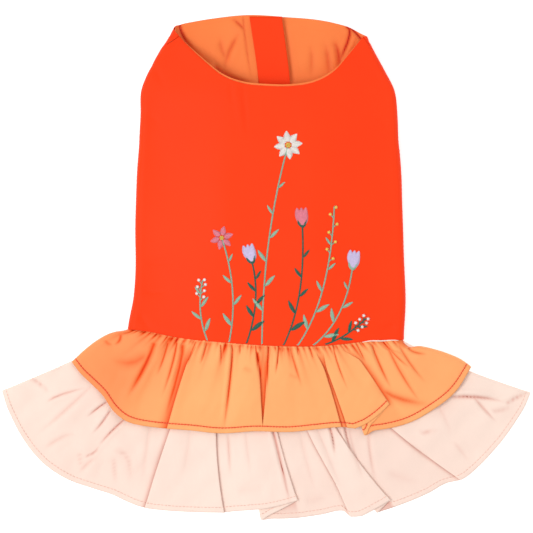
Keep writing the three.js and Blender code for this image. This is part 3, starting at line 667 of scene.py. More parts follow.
def back_outline(peek, tuck, shy):
    """Outline of the back in the flat: peek lifts the neck edge, tuck the waist, shy the armholes."""
    points = []
    for k in range(61):
        x = mix(float(edge_at(-1, 0)), float(edge_at(1, 0)), k / 60)
        y = float(waist_y(x))
        flat = -side_seam if k == 0 else side_seam if k == 60 else flat_at(x, y)
        points.append((flat, y + tuck))

    def armhole(side):
        foot, turn = BODICE_LENGTH * ARMHOLE_FOOT, BODICE_LENGTH * ARMHOLE_TURN
        end = BODICE_LENGTH * SHOULDER_ENDS[0 if side < 0 else 1][1]
        brink = HALF_WIDTH + HALF_ARC
        rows = [(side * side_seam, foot)]
        for t in np.linspace(0.1, 0.95, 12):
            rows.append((side * mix(side_seam, brink, t), mix(foot, turn, t**3)))
        for y in np.linspace(turn, end, 30)[:-1]:
            sway = 0.9 * math.sin(y / 9.0 + side) * math.sin(math.pi * (y - turn) / (end - turn))
            rows.append((side * (brink + sway - shy), y))
        return rows

    def shoulder(side):
        x, high = SHOULDER_ENDS[0 if side < 0 else 1]
        y = BODICE_LENGTH * high
        return (flat_at(HALF_WIDTH * x, y) - side * shy, y - shy)

    neck = []
    for x in np.linspace(BACK_NECK[-1][0], BACK_NECK[0][0], 90):
        ends = 1 - abs(2 * (x - BACK_NECK[0][0]) / (BACK_NECK[-1][0] - BACK_NECK[0][0]) - 1) ** 8
        y = BODICE_LENGTH * float(read(BACK_NECK, 1, x)) + peek * ends
        neck.append((flat_at(HALF_WIDTH * x, y), y))
    return [*points, *armhole(1), shoulder(1), *neck, shoulder(-1), *armhole(-1)[::-1]]


def placket_at(column, y):
    """Place across of the lapped strip's left (1) or right (2) edge."""
    return HALF_WIDTH * read(PLACKET, column, np.asarray(y) / BODICE_LENGTH)


def chest_outline(side):
    """Outline of one chest half in the flat: belly edge, side seam, leg hole, neck, lapped edge."""
    scale = BODICE_LENGTH

    def inner(y):
        return float(placket_at(2 if side < 0 else 1, y))

    def seam_x(y):
        return float(edge_at(side, y)) - side * (UNDERSIDE_WRAP + SEAM_GAP)

    points = []
    seam = HALF_WIDTH - UNDERSIDE_WRAP - SEAM_GAP
    for t in np.linspace(0, 1, 24):
        x = mix(inner(scale * BELLY_HEIGHT), side * seam, t)
        y = scale * float(read(BELLY_EDGE, 1, abs(x) / HALF_WIDTH))
        points.append((flat_at(seam_x(y) if t == 1 else x, y), y))
    for y in np.linspace(points[-1][1], scale * ARMHOLE_FOOT, 20)[1:-1]:
        points.append((flat_at(seam_x(y), y), y))
    order = [(high, across) for across, high in CHEST_ARMHOLE]
    for high in np.linspace(order[0][0], order[-1][0], 24):
        y = scale * high
        across = float(read(order, 1, high))
        x = seam_x(y) if high == order[0][0] else float(edge_at(side, y)) * across
        points.append((flat_at(x, y), y))
    end = SHOULDER_ENDS[0 if side < 0 else 1]
    neck_end = BACK_NECK[0 if side < 0 else -1]
    brink = scale * mix(CHEST_ARMHOLE[-1][1], end[1], 0.6)
    points.append((side * (HALF_WIDTH + HALF_ARC * 0.9), brink))
    for across, high in (end, neck_end):
        y = scale * high + SEAM_GAP
        points.append((flat_at(HALF_WIDTH * across, y, True), y))
    for across in np.linspace(CHEST_NECK[0 if side < 0 else -1][0], inner(scale) / HALF_WIDTH, 40):
        y = scale * float(read(CHEST_NECK, 1, across))
        points.append((flat_at(HALF_WIDTH * across, y), y))
    for y in np.linspace(points[-1][1], scale * BELLY_HEIGHT, 30)[1:-1]:
        points.append((flat_at(inner(y), y), y))
    return points


def lap_lift(x, y):
    """How far the left half of the chest stands up to lap over the right one."""
    return LAP_HEIGHT * smooth((x - placket_at(1, y) + LAP_RAMP) / LAP_RAMP)


def strip(name, floor, thickness, inset, low, high, free_edge=0.0):
    """Flat strip along the lapped edge of the chest; free_edge is how far its right side stands up."""
    ys = np.linspace(BODICE_LENGTH * low, BODICE_LENGTH * high, 120)
    us = np.linspace(0, 1, 28)
    left, right = placket_at(1, ys) + inset, placket_at(2, ys) - inset
    x = left[:, None] + (right - left)[:, None] * us[None, :]
    y = np.repeat(ys[:, None], len(us), axis=1)
    z = floor(x, y) + thickness / 2 + free_edge * smooth((us - 0.6) / 0.4)[None, :]
    z = z + 0.12 * np.sin(y / 11.0) * us[None, :]
    points = np.stack([x, y, z], axis=-1).reshape(-1, 3)
    faces = grid_faces(len(ys), len(us))
    uv = np.stack([x, y], axis=-1).reshape(-1, 2)
    return thick(points, faces, thickness, name, uv, np.zeros(len(points)))


def grid_faces(rows, wide):
    """Quads of a grid of points, row by row."""
    j, i = np.meshgrid(np.arange(rows - 1), np.arange(wide - 1), indexing="ij")
    a = (j * wide + i).ravel()
    return [tuple(int(n) for n in f) for f in np.stack([a, a + 1, a + wide + 1, a + wide], axis=1)]


# layer: height of the seam's cloth over the back's, tuck: how far it goes up under the waist seam,
# rumple: height of its slow waves, all in mm. gathers have the columns: count, depth in mm, reach
# down in mm, least and greatest width in mm
UPPER = {
    "name": "upper_ruffle",
    "width": UPPER_RUFFLE_WIDTH,
    "depth": UPPER_RUFFLE_DEPTH,
    "hem": UPPER_HEM,
    "laps": UPPER_LAPS,
    "waves": UPPER_WAVES,
    "creases": UPPER_CREASES,
    "ply": UPPER_PLY,
    "layer": -0.6,
    "ends": UPPER_ENDS,
    "tuck": 1.2,
    "gathers": ((50, 1.4, 12, 0.9, 1.4), (72, 2.2, 3.6, 0.55, 0.85)),
    "rumple": 0.35,
    # tone: painted shade across the ruffle
    "tone": UPPER_PAINTED_SHADE,
}
LOWER = {
    "name": "lower_ruffle",
    "width": LOWER_RUFFLE_WIDTH,
    "depth": LOWER_RUFFLE_DEPTH,
    "hem": LOWER_HEM,
    "laps": LOWER_LAPS,
    "waves": LOWER_WAVES,
    "creases": LOWER_CREASES,
    "ply": LOWER_PLY,
    "layer": -2.4,
    "ends": LOWER_ENDS,
    "tuck": 0.8,
    "gathers": ((40, 0.35, 40, 1.2, 2),),
    "rumple": 0.6,
    # tone: painted shade across the ruffle
    "tone": LOWER_PAINTED_SHADE,
}


def ruffle_plan(ruffle, q, v):
    """Place in plan for shares across (q) and down (v) a ruffle."""
    left = float(edge_at(-1, waist_y(-HALF_WIDTH))) - ruffle["layer"]
    right = float(edge_at(1, waist_y(HALF_WIDTH))) + ruffle["layer"]
    head_x = mix(left, right, q)
    head_y = waist_y(head_x)
    hem_x = ruffle["width"] / 2 * read(ruffle["hem"], 1, q)
    hem_y = -ruffle["depth"] * read(ruffle["hem"], 2, q)
    left_end = read(ruffle["ends"], 1, v) * (1 - smooth(q / END_REACH))
    right_end = read(ruffle["ends"], 2, v) * (1 - smooth((1 - q) / END_REACH))
    return mix(head_x, hem_x, v), mix(head_y, hem_y, v) + left_end + right_end


def row_width(ruffle, v):
    """Length of one row of a ruffle as it lies, in mm."""
    x, y = ruffle_plan(ruffle, np.linspace(0, 1, 200), v)
    return float(np.hypot(np.diff(x), np.diff(y)).sum())


def head_height(q, layer):
    """Height of a ruffle's seam: the back's, with the ruffle's layer."""
    x = mix(float(edge_at(-1, 0)), float(edge_at(1, 0)), q)
    return back_height(x, waist_y(x)) + layer


def settle(v):
    """How far a row has come down from the seam to the lie of the hem, 0 to 1."""
    return smooth(np.asarray(v) / SETTLED_AT)


def lower_base(q, v):
    """Height of the lower ruffle's middle, without its folds."""
    rim = np.minimum(q, 1 - q)
    hem = mix(END_RISE, LOWER_PLY + CLOTH / 2 + HEM_RISE, smooth(rim / END_REACH))
    return mix(hem, head_height(q, LOWER["layer"]), (1 - np.clip(v, 0, 1)) ** 2)


def upper_base(q, v):
    """The same of the upper ruffle, which lies on the lower one."""
    share = UPPER_RUFFLE_DEPTH / LOWER_RUFFLE_DEPTH
    down = np.maximum(v, 0) * UPPER_RUFFLE_DEPTH
    head = UPPER["layer"] - LOWER["layer"] + PUFF * smooth(down / PUFF_REACH)
    body = UPPER_PLY + LOWER_PLY + RUFFLE_CLEARANCE
    return lower_base(q, v * share) + mix(head, body, settle(v))


UPPER["base"] = upper_base
LOWER["base"] = lower_base
UPPER["under"] = lambda v: CAD_CLOTH / 2
LOWER["under"] = lambda v: CAD_CLOTH / 2 + (CAD_CLOTH + CAD_GAP) * (1 - float(smooth((v - 0.55) / 0.3)))


def lap_stops(side, run, hidden, turn):
    """Path of one lapped fold: place across, reach of the turns, level, place unfolded, drawn share."""
    stops = [(p, 0.0, 1.0, 1.0) for p in np.linspace(-0.5, 0.5, run)]
    for a in np.linspace(0, math.pi, turn + 2)[1:-1]:
        stops.append((0.5, math.sin(a) / 2, 0.5 + math.cos(a) / 2, 1.0))
    stops += [(p, 0.0, 0.0, 0.5 + p) for p in np.linspace(0.5, -0.5, hidden)]
    for a in np.linspace(0, math.pi, turn + 2)[1:-1]:
        stops.append((-0.5, -math.sin(a) / 2, -0.5 + math.cos(a) / 2, 0.0))
    stops += [(p, 0.0, -1.0, 0.0) for p in np.linspace(-0.5, 0.5, hidden)]
    n = len(stops) - 1
    rows = []
    for k, (p, reach, level, drawn) in enumerate(stops):
        rows.append((p, reach, side * level, k / n - 0.5, drawn if side > 0 else 1 - drawn))
    return rows


def ruffle_stops(ruffle, step):
    """Stops across a ruffle as columns: kind, side, t, lap, p, reach, level, flat, drawn."""
    width = row_width(ruffle, 1.0)
    stops = [("under", -1, t, 0, 0, 0, 0, 0, 0) for t in np.linspace(1, 0, 14)[:-1]]
    stops += [("arc", -1, t, 0, 0, 0, 0, 0, 0) for t in np.linspace(1, 0, 9)[:-1]]
    bounds = [0.0] + [lap[1] for lap in ruffle["laps"]] + [1.0]
    for k in range(len(ruffle["laps"]) + 1):
        count = max(6, int((bounds[k + 1] - bounds[k]) * width / step))
        first, last = (1 if k else 0), (-1 if k < len(ruffle["laps"]) else None)
        stops += [("run", 0, t, k - 1, 0, 0, 0, 0, 0) for t in np.linspace(0, 1, count + 1)[first:last]]
        if k < len(ruffle["laps"]):
            lap = ruffle["laps"][k]
            run = max(5, int(lap[2] * ruffle["depth"] / step))
            hidden = run if lap[4] else max(4, run // 3)
            stops += [("lap", 0, 0, k, *row) for row in lap_stops(lap[3], run, hidden, 6)]
    stops += [("arc", 1, t, 0, 0, 0, 0, 0, 0) for t in np.linspace(0, 1, 9)[1:]]
    stops += [("under", 1, t, 0, 0, 0, 0, 0, 0) for t in np.linspace(0, 1, 14)[1:]]
    return stops


def crease_height(x, y, creases, half_width, depth, down=-1.0):
    """Creases along lines in plan: a narrow valley, soft shoulders, and one side standing up.
    Also gives the painted shade of each point for lying deep in a narrow one."""
    total = np.zeros_like(x)
    crease_shade = np.zeros_like(x)
    for x0, y0, x1, y1, x2, y2, deep, wide, lean, start in creases:
        ends = np.array([(x0, down * y0), (x1, down * y1), (x2, down * y2)]) * [half_width, depth]
        s = np.linspace(0, 1, 6)[:, None]
        line = (1 - s) * (1 - 2 * s) * ends[0] + 4 * s * (1 - s) * ends[1] - s * (1 - 2 * s) * ends[2]
        lengths = np.hypot(*np.diff(line, axis=0).T)
        best = np.full(x.shape, 1e9)
        along = np.zeros_like(x)
        signed = np.zeros_like(x)
        run = 0.0
        for a, b, length in zip(line, line[1:], lengths):
            d = (b - a) / length
            t = np.clip((x - a[0]) * d[0] + (y - a[1]) * d[1], 0, length)
            px, py = x - a[0] - t * d[0], y - a[1] - t * d[1]
            off = np.hypot(px, py)
            nearer = off < best
            best = np.where(nearer, off, best)
            along = np.where(nearer, (run + t) / lengths.sum(), along)
            signed = np.where(nearer, px * d[1] - py * d[0], signed)
            run += length
        fade = mix(start, 1.0, smooth(along / 0.25)) * smooth((1 - along) / 0.55)
        valley = np.exp(-((best / (wide * 0.62)) ** 1.3))
        shoulder = np.exp(-(((best - 2.0 * wide) / (1.3 * wide)) ** 2))
        rise = 0.5 + 0.5 * lean * np.tanh(signed / wide)
        swell = np.exp(-((best / (5.0 * wide)) ** 2)) * lean * np.tanh(signed / wide)
        total += deep * fade * (0.5 * shoulder * rise - valley + 0.25 * swell)
        # Painted shade, most in the valley of a deep, narrow crease
        crease_shade = np.maximum(crease_shade, CREASE_TINT * fade * valley * min(1.33, deep / min(wide, 2.6)))
    return total, crease_shade


def draw_gathers(ruffle):
    """Gathers in even steps with small differences: place, width, depth, reach down and drift."""
    gathers = []
    for count, high, fading, narrow, wide in ruffle["gathers"]:
        for q0 in np.linspace(GATHER_MARGIN, 1 - GATHER_MARGIN, count):
            place_at = q0 + rng.uniform(-0.4, 0.4) / count
            breadth, depth = rng.uniform(narrow, wide), high * rng.uniform(0.4, 1.0)
            fall = fading * rng.uniform(0.3, 1.3) ** 1.6
            drift = rng.uniform(-GATHER_DRIFT, GATHER_DRIFT)
            gathers.append((place_at, breadth, depth, fall, drift))
    return gathers


def gather_height(gathers, q, v, width, along):
    """Furrows of the gathers across one row, along mm below the seam."""
    total = np.zeros(len(q))
    for place_at, breadth, depth, fall, drift in gathers:
        wide = breadth * (1 + GATHER_SPREAD * along)
        off = (q - place_at - drift * v) * width / wide
        total -= depth * math.exp(-((along / fall) ** 1.3)) * np.exp(-np.abs(off) ** 1.5)
    return total * mix(GATHER_START, 1, float(smooth(along / GATHER_ONSET)))


def soft_folds(ruffle, q, v, width):
    """Height of a ruffle's soft folds across one row."""
    total = np.zeros(len(q))
    for head, hem, wide, high, peak in ruffle["waves"]:
        off = (q * width - mix(head, hem, v) * width) / (wide * ruffle["depth"])
        strength = float(smooth(v / peak)) * (1 - WAVE_LOSS * (v - peak) if v > peak else 1)
        total += high * ruffle["ply"] * strength * np.exp(-off * off)
    return total


def over_lower(top, q, v, opened):
    """Heights of the upper ruffle, kept softly above the lower one."""
    share = v * UPPER_RUFFLE_DEPTH / LOWER_RUFFLE_DEPTH
    room = lower_base(q, share) + (LOWER_PLY + CLOTH + RUFFLE_ROOM) * opened
    return room + ROOM_SOFTNESS * np.logaddexp(0, (top - room) / ROOM_SOFTNESS)


def ruffle_grid(ruffle, rows, step):
    """Points and painted shade of a ruffle, row by row from the waist down, with its laps folded."""
    stops = ruffle_stops(ruffle, step)
    kinds = np.array([s[0] for s in stops])
    data = np.array([s[1:] for s in stops], float)
    side, t, lap_index, p, reach, level0, flat0, drawn0 = data.T
    lap_index = lap_index.astype(int)
    laps = ruffle["laps"]
    sides_of = np.array([lap[3] for lap in laps], float)
    reach_of = np.array([1.0, *[lap[5] for lap in laps], 1.0])
    is_lap, is_run = kinds == "lap", kinds == "run"
    is_arc, is_under = kinds == "arc", kinds == "under"
    gathers = draw_gathers(ruffle)
    waves = make_waves(count=8, shortest=16, longest=60, height=ruffle["rumple"])
    fine = make_waves(count=8, shortest=7, longest=16, height=ruffle["rumple"] * 0.25)
    points = np.zeros((len(rows), len(stops), 3))
    shade_paint = np.zeros((len(rows), len(stops)))
    for j, v in enumerate(rows):
        width = row_width(ruffle, v)
        opened = float(settle(max(v, 0)))
        under = ruffle["under"](v)
        radius = [(float(ruffle["base"](q_end, v)) - under) / 2 for q_end in (TURN_AT, 1 - TURN_AT)]

        # Middle, half width, overlap and unfolded width of each lap in this row
        at, half, full, flat, drawn = [], [], [], [], []
        for head, hem, overlap, _, draw, _ in laps:
            lapped = overlap * ruffle["depth"] * mix(LAP_AT_WAIST, 1, v)
            unfolded = UNFOLDED_LEAST + UNFOLDED_SHARE * lapped
            at.append(mix(head, hem, v) * width)
            full.append(lapped)
            flat.append(unfolded)
            half.append(mix(unfolded, lapped, opened) / 2)
            drawn.append(draw)
        at_all = np.array([radius[0], *at, width - radius[1]])
        half_all = np.array([0.0, *half, 0.0])
        side_all = np.array([0.0, *sides_of, 0.0])
        drawn_all = np.array([0.0, *drawn, 0.0])
        full, flat, at, half, drawn = map(np.array, (full, flat, at, half, drawn))
        c = np.zeros(len(stops))
        level = np.zeros(len(stops))
        lift = np.zeros(len(stops))

        # Laps: place across, which ply, and how far the drawn ones are lifted
        k = lap_index[is_lap]
        folded = p[is_lap] * full[k] + reach[is_lap] * ruffle["ply"]
        c[is_lap] = at[k] + mix(flat0[is_lap] * flat[k], folded, opened)
        level[is_lap] = level0[is_lap]
        reach_left = np.diff(np.array([radius[0], *at]) + np.array([0.0, *half])) - 2 * half
        start = np.maximum(reach_left, 0) / (np.maximum(reach_left, 0) + 2 * half)
        shown = np.where(level0[is_lap] > 0.5, mix(start[k], 1.0, p[is_lap] + 0.5), drawn0[is_lap])
        tip = TIP_DIP * np.exp(-(((p[is_lap] + 0.5) / TIP_SHARE) ** 2))
        tip = np.where(level0[is_lap] < 0.5, tip, 0)
        lift[is_lap] = (shown - tip * drawn[k]) * drawn[k]

        # Runs between the laps, turns at the sides, hidden ends
        k = lap_index[is_run] + 1
        tr = t[is_run]
        c[is_run] = mix(at_all[k] + half_all[k], at_all[k + 1] - half_all[k + 1], tr)
        level[is_run] = mix(-side_all[k], side_all[k + 1], smooth(tr))
        lift[is_run] = np.where(side_all[k + 1] > 0, drawn_all[k + 1] * tr, 0) * np.array([*start, 0])[k]
        r = np.where(side < 0, radius[0], radius[1])
        c[is_arc] = (r * (1 - np.sin(math.pi * t)))[is_arc]
        c[is_under] = (r + t * (UNDERSIDE_WRAP - r) * mix(1, RUFFLE_UNDER_SPREAD, v))[is_under]
        q = c / width
        q = np.where((side > 0) & (is_arc | is_under), 1 - q, q)
        short = np.where(is_under, UNDER_SHORT * smooth(t * 3), lift)
        x, y = ruffle_plan(ruffle, q, v * (1 - short))

        # Heights
        height = soft_folds(ruffle, q, v, width)
        wrinkle = gather_height(gathers, q, v, width, max(v, 0) * ruffle["depth"])
        crease, crease_shade = crease_height(x, y, ruffle["creases"], ruffle["width"] / 2, ruffle["depth"])
        small = ripple(x, y, waves) + ripple(x, y, fine)
        show = np.where(is_under, 0.0, np.where(is_arc, 0.5 + 0.5 * np.cos(math.pi * t), 1.0))
        base = ruffle["base"](q, v) + level * ruffle["ply"] * opened
        top = base + height + (wrinkle + crease + small * min(1.0, max(v, 0) / RUMPLED_AT)) * show
        if ruffle is UPPER:
            top = over_lower(top, q, v, opened)
        top = np.maximum(top, CLOTH / 2 + FLOOR_CLEARANCE + (1 + level) * ruffle["ply"] * opened)
        arc_z = under + r + r * np.cos(math.pi * t) + (wrinkle + crease) * show
        z = np.where(is_under, under, np.where(is_arc, np.maximum(arc_z, TURN_CLEARANCE), top))
        points[j] = np.stack([x, y, z], axis=-1)

        # Painted shade: in the gathers' furrows, in the creases, and beside and under the laps
        gather_shade = np.clip(-wrinkle * 0.5, 0, 0.85)
        lap_shade = np.zeros(len(stops))
        k = lap_index[is_run] + 1
        length = (at_all[k + 1] - half_all[k + 1]) - (at_all[k] + half_all[k])
        before = np.where(side_all[k] > 0, np.exp(-((tr * length / reach_of[k]) ** 2)), 0)
        after = np.where(side_all[k + 1] < 0, np.exp(-(((1 - tr) * length / reach_of[k + 1]) ** 2)), 0)
        bare = [float(smooth((v - 1 + 1.3 * d) / 0.12)) * (d > 0) for d in drawn]
        covered = 1 - 0.85 * np.array([0.0, *bare])
        lap_shade[is_run] = np.maximum(before, after) * covered[k]
        lap_shade[is_lap] = np.where(level0[is_lap] > 0.5, 0, covered[1:][lap_index[is_lap]])
        # Painted shade across the ruffle from its table, most towards its left end
        tone = read(ruffle["tone"], 1, q)
        shade_paint[j] = np.maximum(np.maximum(crease_shade, gather_shade) * show, LAP_SHADE_TINT * lap_shade * opened) + tone
    return points, shade_paint


def grid_uv(points):
    """Cloth coordinates in mm from the mean spacing of a grid's columns and rows."""
    along = np.hypot(*np.moveaxis(np.diff(points[..., :2], axis=1), -1, 0)).mean(axis=0)
    u = np.concatenate([[0], np.cumsum(along)])
    down = np.linalg.norm(np.diff(points, axis=0), axis=-1).mean(axis=1)
    w = np.concatenate([[0], np.cumsum(down)])
    return np.stack(np.meshgrid(u, w), axis=-1).reshape(-1, 2)


def row_shares(ruffle, count):
    """Rows close together at the waist, where gathers are fine, and at the hem's turning."""
    margin = HEM_MARGIN / ruffle["depth"]
    body = np.linspace(0, 1, count) ** 1.25 * (1 - margin - 0.006)
    hem = 1 - margin + np.array([-0.004, 0.0, 0.004, 0.35 * margin, 0.7 * margin, margin])
    return np.concatenate([[-ruffle["tuck"] / ruffle["depth"]], body, hem])


def build_ruffle(ruffle, count, step):
    """A ruffle's cloth, and its grid of points with the rows' shares down for the hem's stitches."""
    rows = row_shares(ruffle, count)
    points, shade_paint = ruffle_grid(ruffle, rows, step)
    wide = points.shape[1]
    margin = HEM_MARGIN / ruffle["depth"]
    thickness = np.where(rows > 1 - margin - 0.001, HEM_CLOTH, CLOTH)
    groove = np.abs(rows - (1 - margin)) < 0.002
    points[groove, :, 2] -= HEM_GROOVE
    per_point = np.repeat(thickness, wide)
    faces = [tuple(reversed(f)) for f in grid_faces(len(rows), wide)]
    name = ruffle["name"] + "_cloth"
    made = thick(points.reshape(-1, 3), faces, per_point, name, grid_uv(points), shade_paint.ravel(), REVERSE_TINT)
    return made, points, rows


def tube(path, radius, sides=6):
    """Points and faces of a closed tube along a path; radius may change along it."""
    path = np.asarray(path, float)
    radius = np.broadcast_to(np.asarray(radius, float), (len(path),))
    tangent = np.gradient(path, axis=0)
    tangent /= np.maximum(np.linalg.norm(tangent, axis=1, keepdims=True), 1e-9)
    across = np.cross(tangent, [0.0, 0.0, 1.0])
    across /= np.maximum(np.linalg.norm(across, axis=1, keepdims=True), 1e-9)
    up = np.cross(across, tangent)
    turn = np.linspace(0, 2 * math.pi, sides, endpoint=False)
    ring = across[:, None] * np.cos(turn)[None, :, None] + up[:, None] * np.sin(turn)[None, :, None]
    points = (path[:, None] + ring * radius[:, None, None]).reshape(-1, 3)
    faces = []
    for j in range(len(path) - 1):
        for i in range(sides):
            a, b = j * sides + i, j * sides + (i + 1) % sides
            faces.append((a, b, b + sides, a + sides))
    faces.append(tuple(range(sides))[::-1])
    faces.append(tuple((len(path) - 1) * sides + i for i in range(sides)))
    return points, faces


def join_parts(name, parts):
    """One object from parts that are each points and faces."""
    points, faces, start = [], [], 0
    for pts, fcs in parts:
        points.append(pts)
        faces += [tuple(i + start for i in f) for f in fcs]
        start += len(pts)
    return make_object(name, np.vstack(points), faces)


def stitch_line(path, length, gap, radius):
    """Machine stitches along a path of surface points: short threads that dip at each end."""
    path = np.asarray(path, float)
    steps = np.linalg.norm(np.diff(path, axis=0), axis=1)
    run = np.concatenate([[0], np.cumsum(steps)])
    parts, at = [], 0.5
    while at + length < run[-1]:
        s = np.linspace(at, at + length, 5)
        pts = np.column_stack([np.interp(s, run, path[:, k]) for k in range(3)])
        hump = np.sin(np.linspace(0, math.pi, 5))
        pts[:, 2] += radius * (0.2 + 0.9 * hump)
        parts.append(tube(pts, radius * (0.55 + 0.45 * hump), 5))
        at += length + gap
    return parts


def linear(rgb):
    """Linear colour from one given in 0 to 255 as a screen shows it."""
    c = np.array(rgb, float) / 255.0
    return tuple(float(v) for v in np.where(c <= 0.04045, c / 12.92, ((c + 0.055) / 1.055) ** 2.4))


def start_material(name, roughness, sheen):
    """A new material with its shader, and a function that adds a node with values and links."""
    material = bpy.data.materials.new(name)
    material.use_nodes = True
    tree = material.node_tree
    shader = tree.nodes["Principled BSDF"]
    shader.inputs["Roughness"].default_value = roughness
    shader.inputs["Sheen Weight"].default_value = sheen

    def add(kind, values=(), feeds=(), **settings):
        made = tree.nodes.new("ShaderNode" + kind)
        for key, value in settings.items():
            setattr(made, key, value)
        for key, value in dict(values).items():
            made.inputs[key].default_value = value
        for key, source in feeds:
            tree.links.new(source, made.inputs[key])
        return made

    return material, shader, tree.links, add


def fabric(name, colour, shade, deepest, roughness, sheen, weave, bump):
    """Woven cloth: warp and weft in the bump, slow colour variation, painted shade in creases and hollows."""
    material, shader, links, add = start_material(name, roughness, sheen)
    uv = add("UVMap", uv_map="cloth").outputs["UV"]
    values = {"Scale": 1000.0 / weave / 3.0, "Distortion": 0.4, "Detail": 1.0}
    yarns = [add("TexWave", values, [("Vector", uv)], bands_direction=axis).outputs["Fac"] for axis in "XY"]
    crossed = add("Math", (), enumerate(yarns), operation="MULTIPLY")
    slub = add("TexNoise", {"Scale": 900.0, "Detail": 2.0}, [("Vector", uv)])
    height = add("Math", (), [(0, crossed.outputs[0]), (1, slub.outputs["Fac"])], operation="ADD")
    relief = add("Bump", {"Strength": bump, "Distance": 0.0002}, [("Height", height.outputs[0])])
    links.new(relief.outputs["Normal"], shader.inputs["Normal"])

    slow = add("TexNoise", {"Scale": 14.0, "Detail": 3.0}, [("Vector", uv)])
    values = {"From Min": 0.3, "From Max": 0.7, "To Min": 0.0, "To Max": 0.1}
    span = add("MapRange", values, [("Value", slow.outputs["Fac"])])
    # Painted shade: each point's share moves the colour towards the painted shade and deepest colours
    painted_shade = add("Attribute", attribute_name="painted_shade")
    feeds = [(0, span.outputs["Result"]), (1, painted_shade.outputs["Fac"])]
    total = add("Math", (), feeds, operation="ADD", use_clamp=True)
    blend = add("ValToRGB", (), [(0, total.outputs[0])])
    blend.color_ramp.elements[0].color = (*linear(colour), 1)
    blend.color_ramp.elements[1].color = (*linear(deepest), 1)
    blend.color_ramp.elements.new(0.75).color = (*linear(shade), 1)
    links.new(blend.outputs["Color"], shader.inputs["Base Color"])
    shader.inputs["Specular IOR Level"].default_value = 0.15
    shader.inputs["Sheen Roughness"].default_value = 0.4
    return material


def thread(name, colour):
    """Sewing thread, a little deeper in colour from place to place."""
    material, shader, links, add = start_material(name, 0.4, 0.2)
    place_at = add("TexCoord").outputs["Object"]
    noise = add("TexNoise", {"Scale": 700.0}, [("Vector", place_at)])
    tones = {6: (*linear([c * 0.86 for c in colour]), 1), 7: (*linear(colour), 1)}
    blend = add("Mix", (), [], data_type="RGBA")
    for socket, tone in tones.items():
        blend.inputs[socket].default_value = tone
    links.new(noise.outputs["Fac"], blend.inputs[0])
    links.new(blend.outputs[2], shader.inputs["Base Color"])
    return material


# Columns: colour, painted shade colour, deepest painted shade colour, roughness, sheen, weave in mm, strength
# of the bump
FABRICS = {
    "red_satin": ((255, 62, 8), (214, 34, 4), (160, 20, 4), 0.6, 0.04, 0.35, 0.05),
    "peach_lining": ((250, 132, 68), (206, 44, 8), (150, 24, 4), 0.55, 0.05, 0.35, 0.08),
    "orange_satin": ((255, 181, 116), (238, 76, 2), (206, 32, 4), 0.5, 0.1, 0.4, 0.08),
    "pink_cotton": ((251, 228, 214), (224, 170, 156), (158, 66, 50), 0.8, 0.08, 0.4, 0.12),
}
materials = {name: fabric(name, *row) for name, row in FABRICS.items()}

back_waves = make_waves(count=7, shortest=45, longest=120, height=0.3)
lining_waves = make_waves(count=7, shortest=20, longest=60, height=0.35)
puckers = [
    (x, rng.uniform(0.8, 1.8), rng.uniform(0.1, 0.4), rng.uniform(2, 9)) for x in np.linspace(-108, 108, 72)
]


def back_detail(x, y, gap):
    """Relief of the back's outer cloth: slow waves, soft creases and puckers above the waist seam."""
    more = ripple(x, y, back_waves) * smooth(gap / 12)
    more += crease_height(x, y, BACK_CREASES, HALF_WIDTH, BODICE_LENGTH, 1.0)[0]
    up = y - waist_y(x)
    for px, wide, high, reach in puckers:
        more -= high * np.exp(-(((x - px) / wide) ** 2)) * np.exp(-np.maximum(up, 0) / reach)
    return more, np.zeros(len(x))


def chest_detail(x, y, gap):
    """Seen from inside, so the lining's creases count downwards from the chest's face."""
    crease, crease_shade = crease_height(x, y, LINING_CREASES, HALF_WIDTH, BODICE_LENGTH, 1.0)
    beside = np.maximum(placket_at(1, y) - x, x - placket_at(2, y))
    high = smooth((y / BODICE_LENGTH - 0.6) / 0.1)
    rise = np.maximum(1.0 + crease + ripple(x, y, lining_waves) * 0.6, 0.0)
    # The second value is painted shade in the lining's creases
    return -rise * high * smooth(gap / 8) * smooth(beside / 6), crease_shade * high * smooth(beside)


fine = 2.0
coarse, dense = fine * 1.4, fine * 0.75
outline = back_outline(peek=0, tuck=0, shy=0)
back = panel("back_cloth", outline, OUTER_MIDDLE, 1, fine, detail=back_detail, roll=EDGE_ROLL)
outline = back_outline(peek=LINING_PEEK, tuck=1.4, shy=0.8)
back_lining = panel("back_lining_cloth", outline, LINING_MIDDLE, 1, coarse)
chest, chest_linings = [], []
for side, word in ((-1, "left"), (1, "right")):
    lift = lap_lift if side < 0 else (lambda x, y: 0.0)
    outline = chest_outline(side)
    chest.append(panel(f"chest_{word}_cloth", outline, OUTER_MIDDLE, -1, coarse, lift))
    name = f"chest_lining_{word}_cloth"
    chest_linings.append(panel(name, outline, LINING_MIDDLE, -1, dense, lift, chest_detail))


def placket_floor(x, y):
    return CAD_CLOTH * 2 + CAD_GAP + 0.1 + lap_lift(x, y)


def tape_floor(x, y):
    return TAPE_FLOOR + 0 * x


placket = strip("placket_cloth", placket_floor, CLOTH, inset=0.3, low=0.17, high=0.995, free_edge=0.3)
tape = strip("closure_tape_cloth", tape_floor, TAPE_CLOTH, inset=3.0, low=0.2, high=0.97)

# Rows down a ruffle and distance between its columns in mm
upper_mesh, lower_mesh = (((52, 0.9), (62, 1.15)))
upper, upper_points, upper_rows = build_ruffle(UPPER, *upper_mesh)
lower, lower_points, lower_rows = build_ruffle(LOWER, *lower_mesh)


def back_top(x, y):
    """Height of the upper face of the back's outer cloth."""
    gap = np.maximum(y - waist_y(x), 0.0)
    return back_height(x, y) + OUTER_MIDDLE + back_detail(x, y, gap)[0] + CLOTH / 2


# Satin stitch in mm: distance between stitches of a blade, how high a blade and a stem stand
BLADE_PITCH = 0.36
BLADE_RISE = 0.4
STEM_RISE = 0.3


def unit(vector):
    """A vector in plan at length 1."""
    return vector / np.hypot(*vector)


def left_of(vector):
    return np.array([-vector[1], vector[0]])


def pointing(angle):
    return np.array([math.cos(angle), math.sin(angle)])


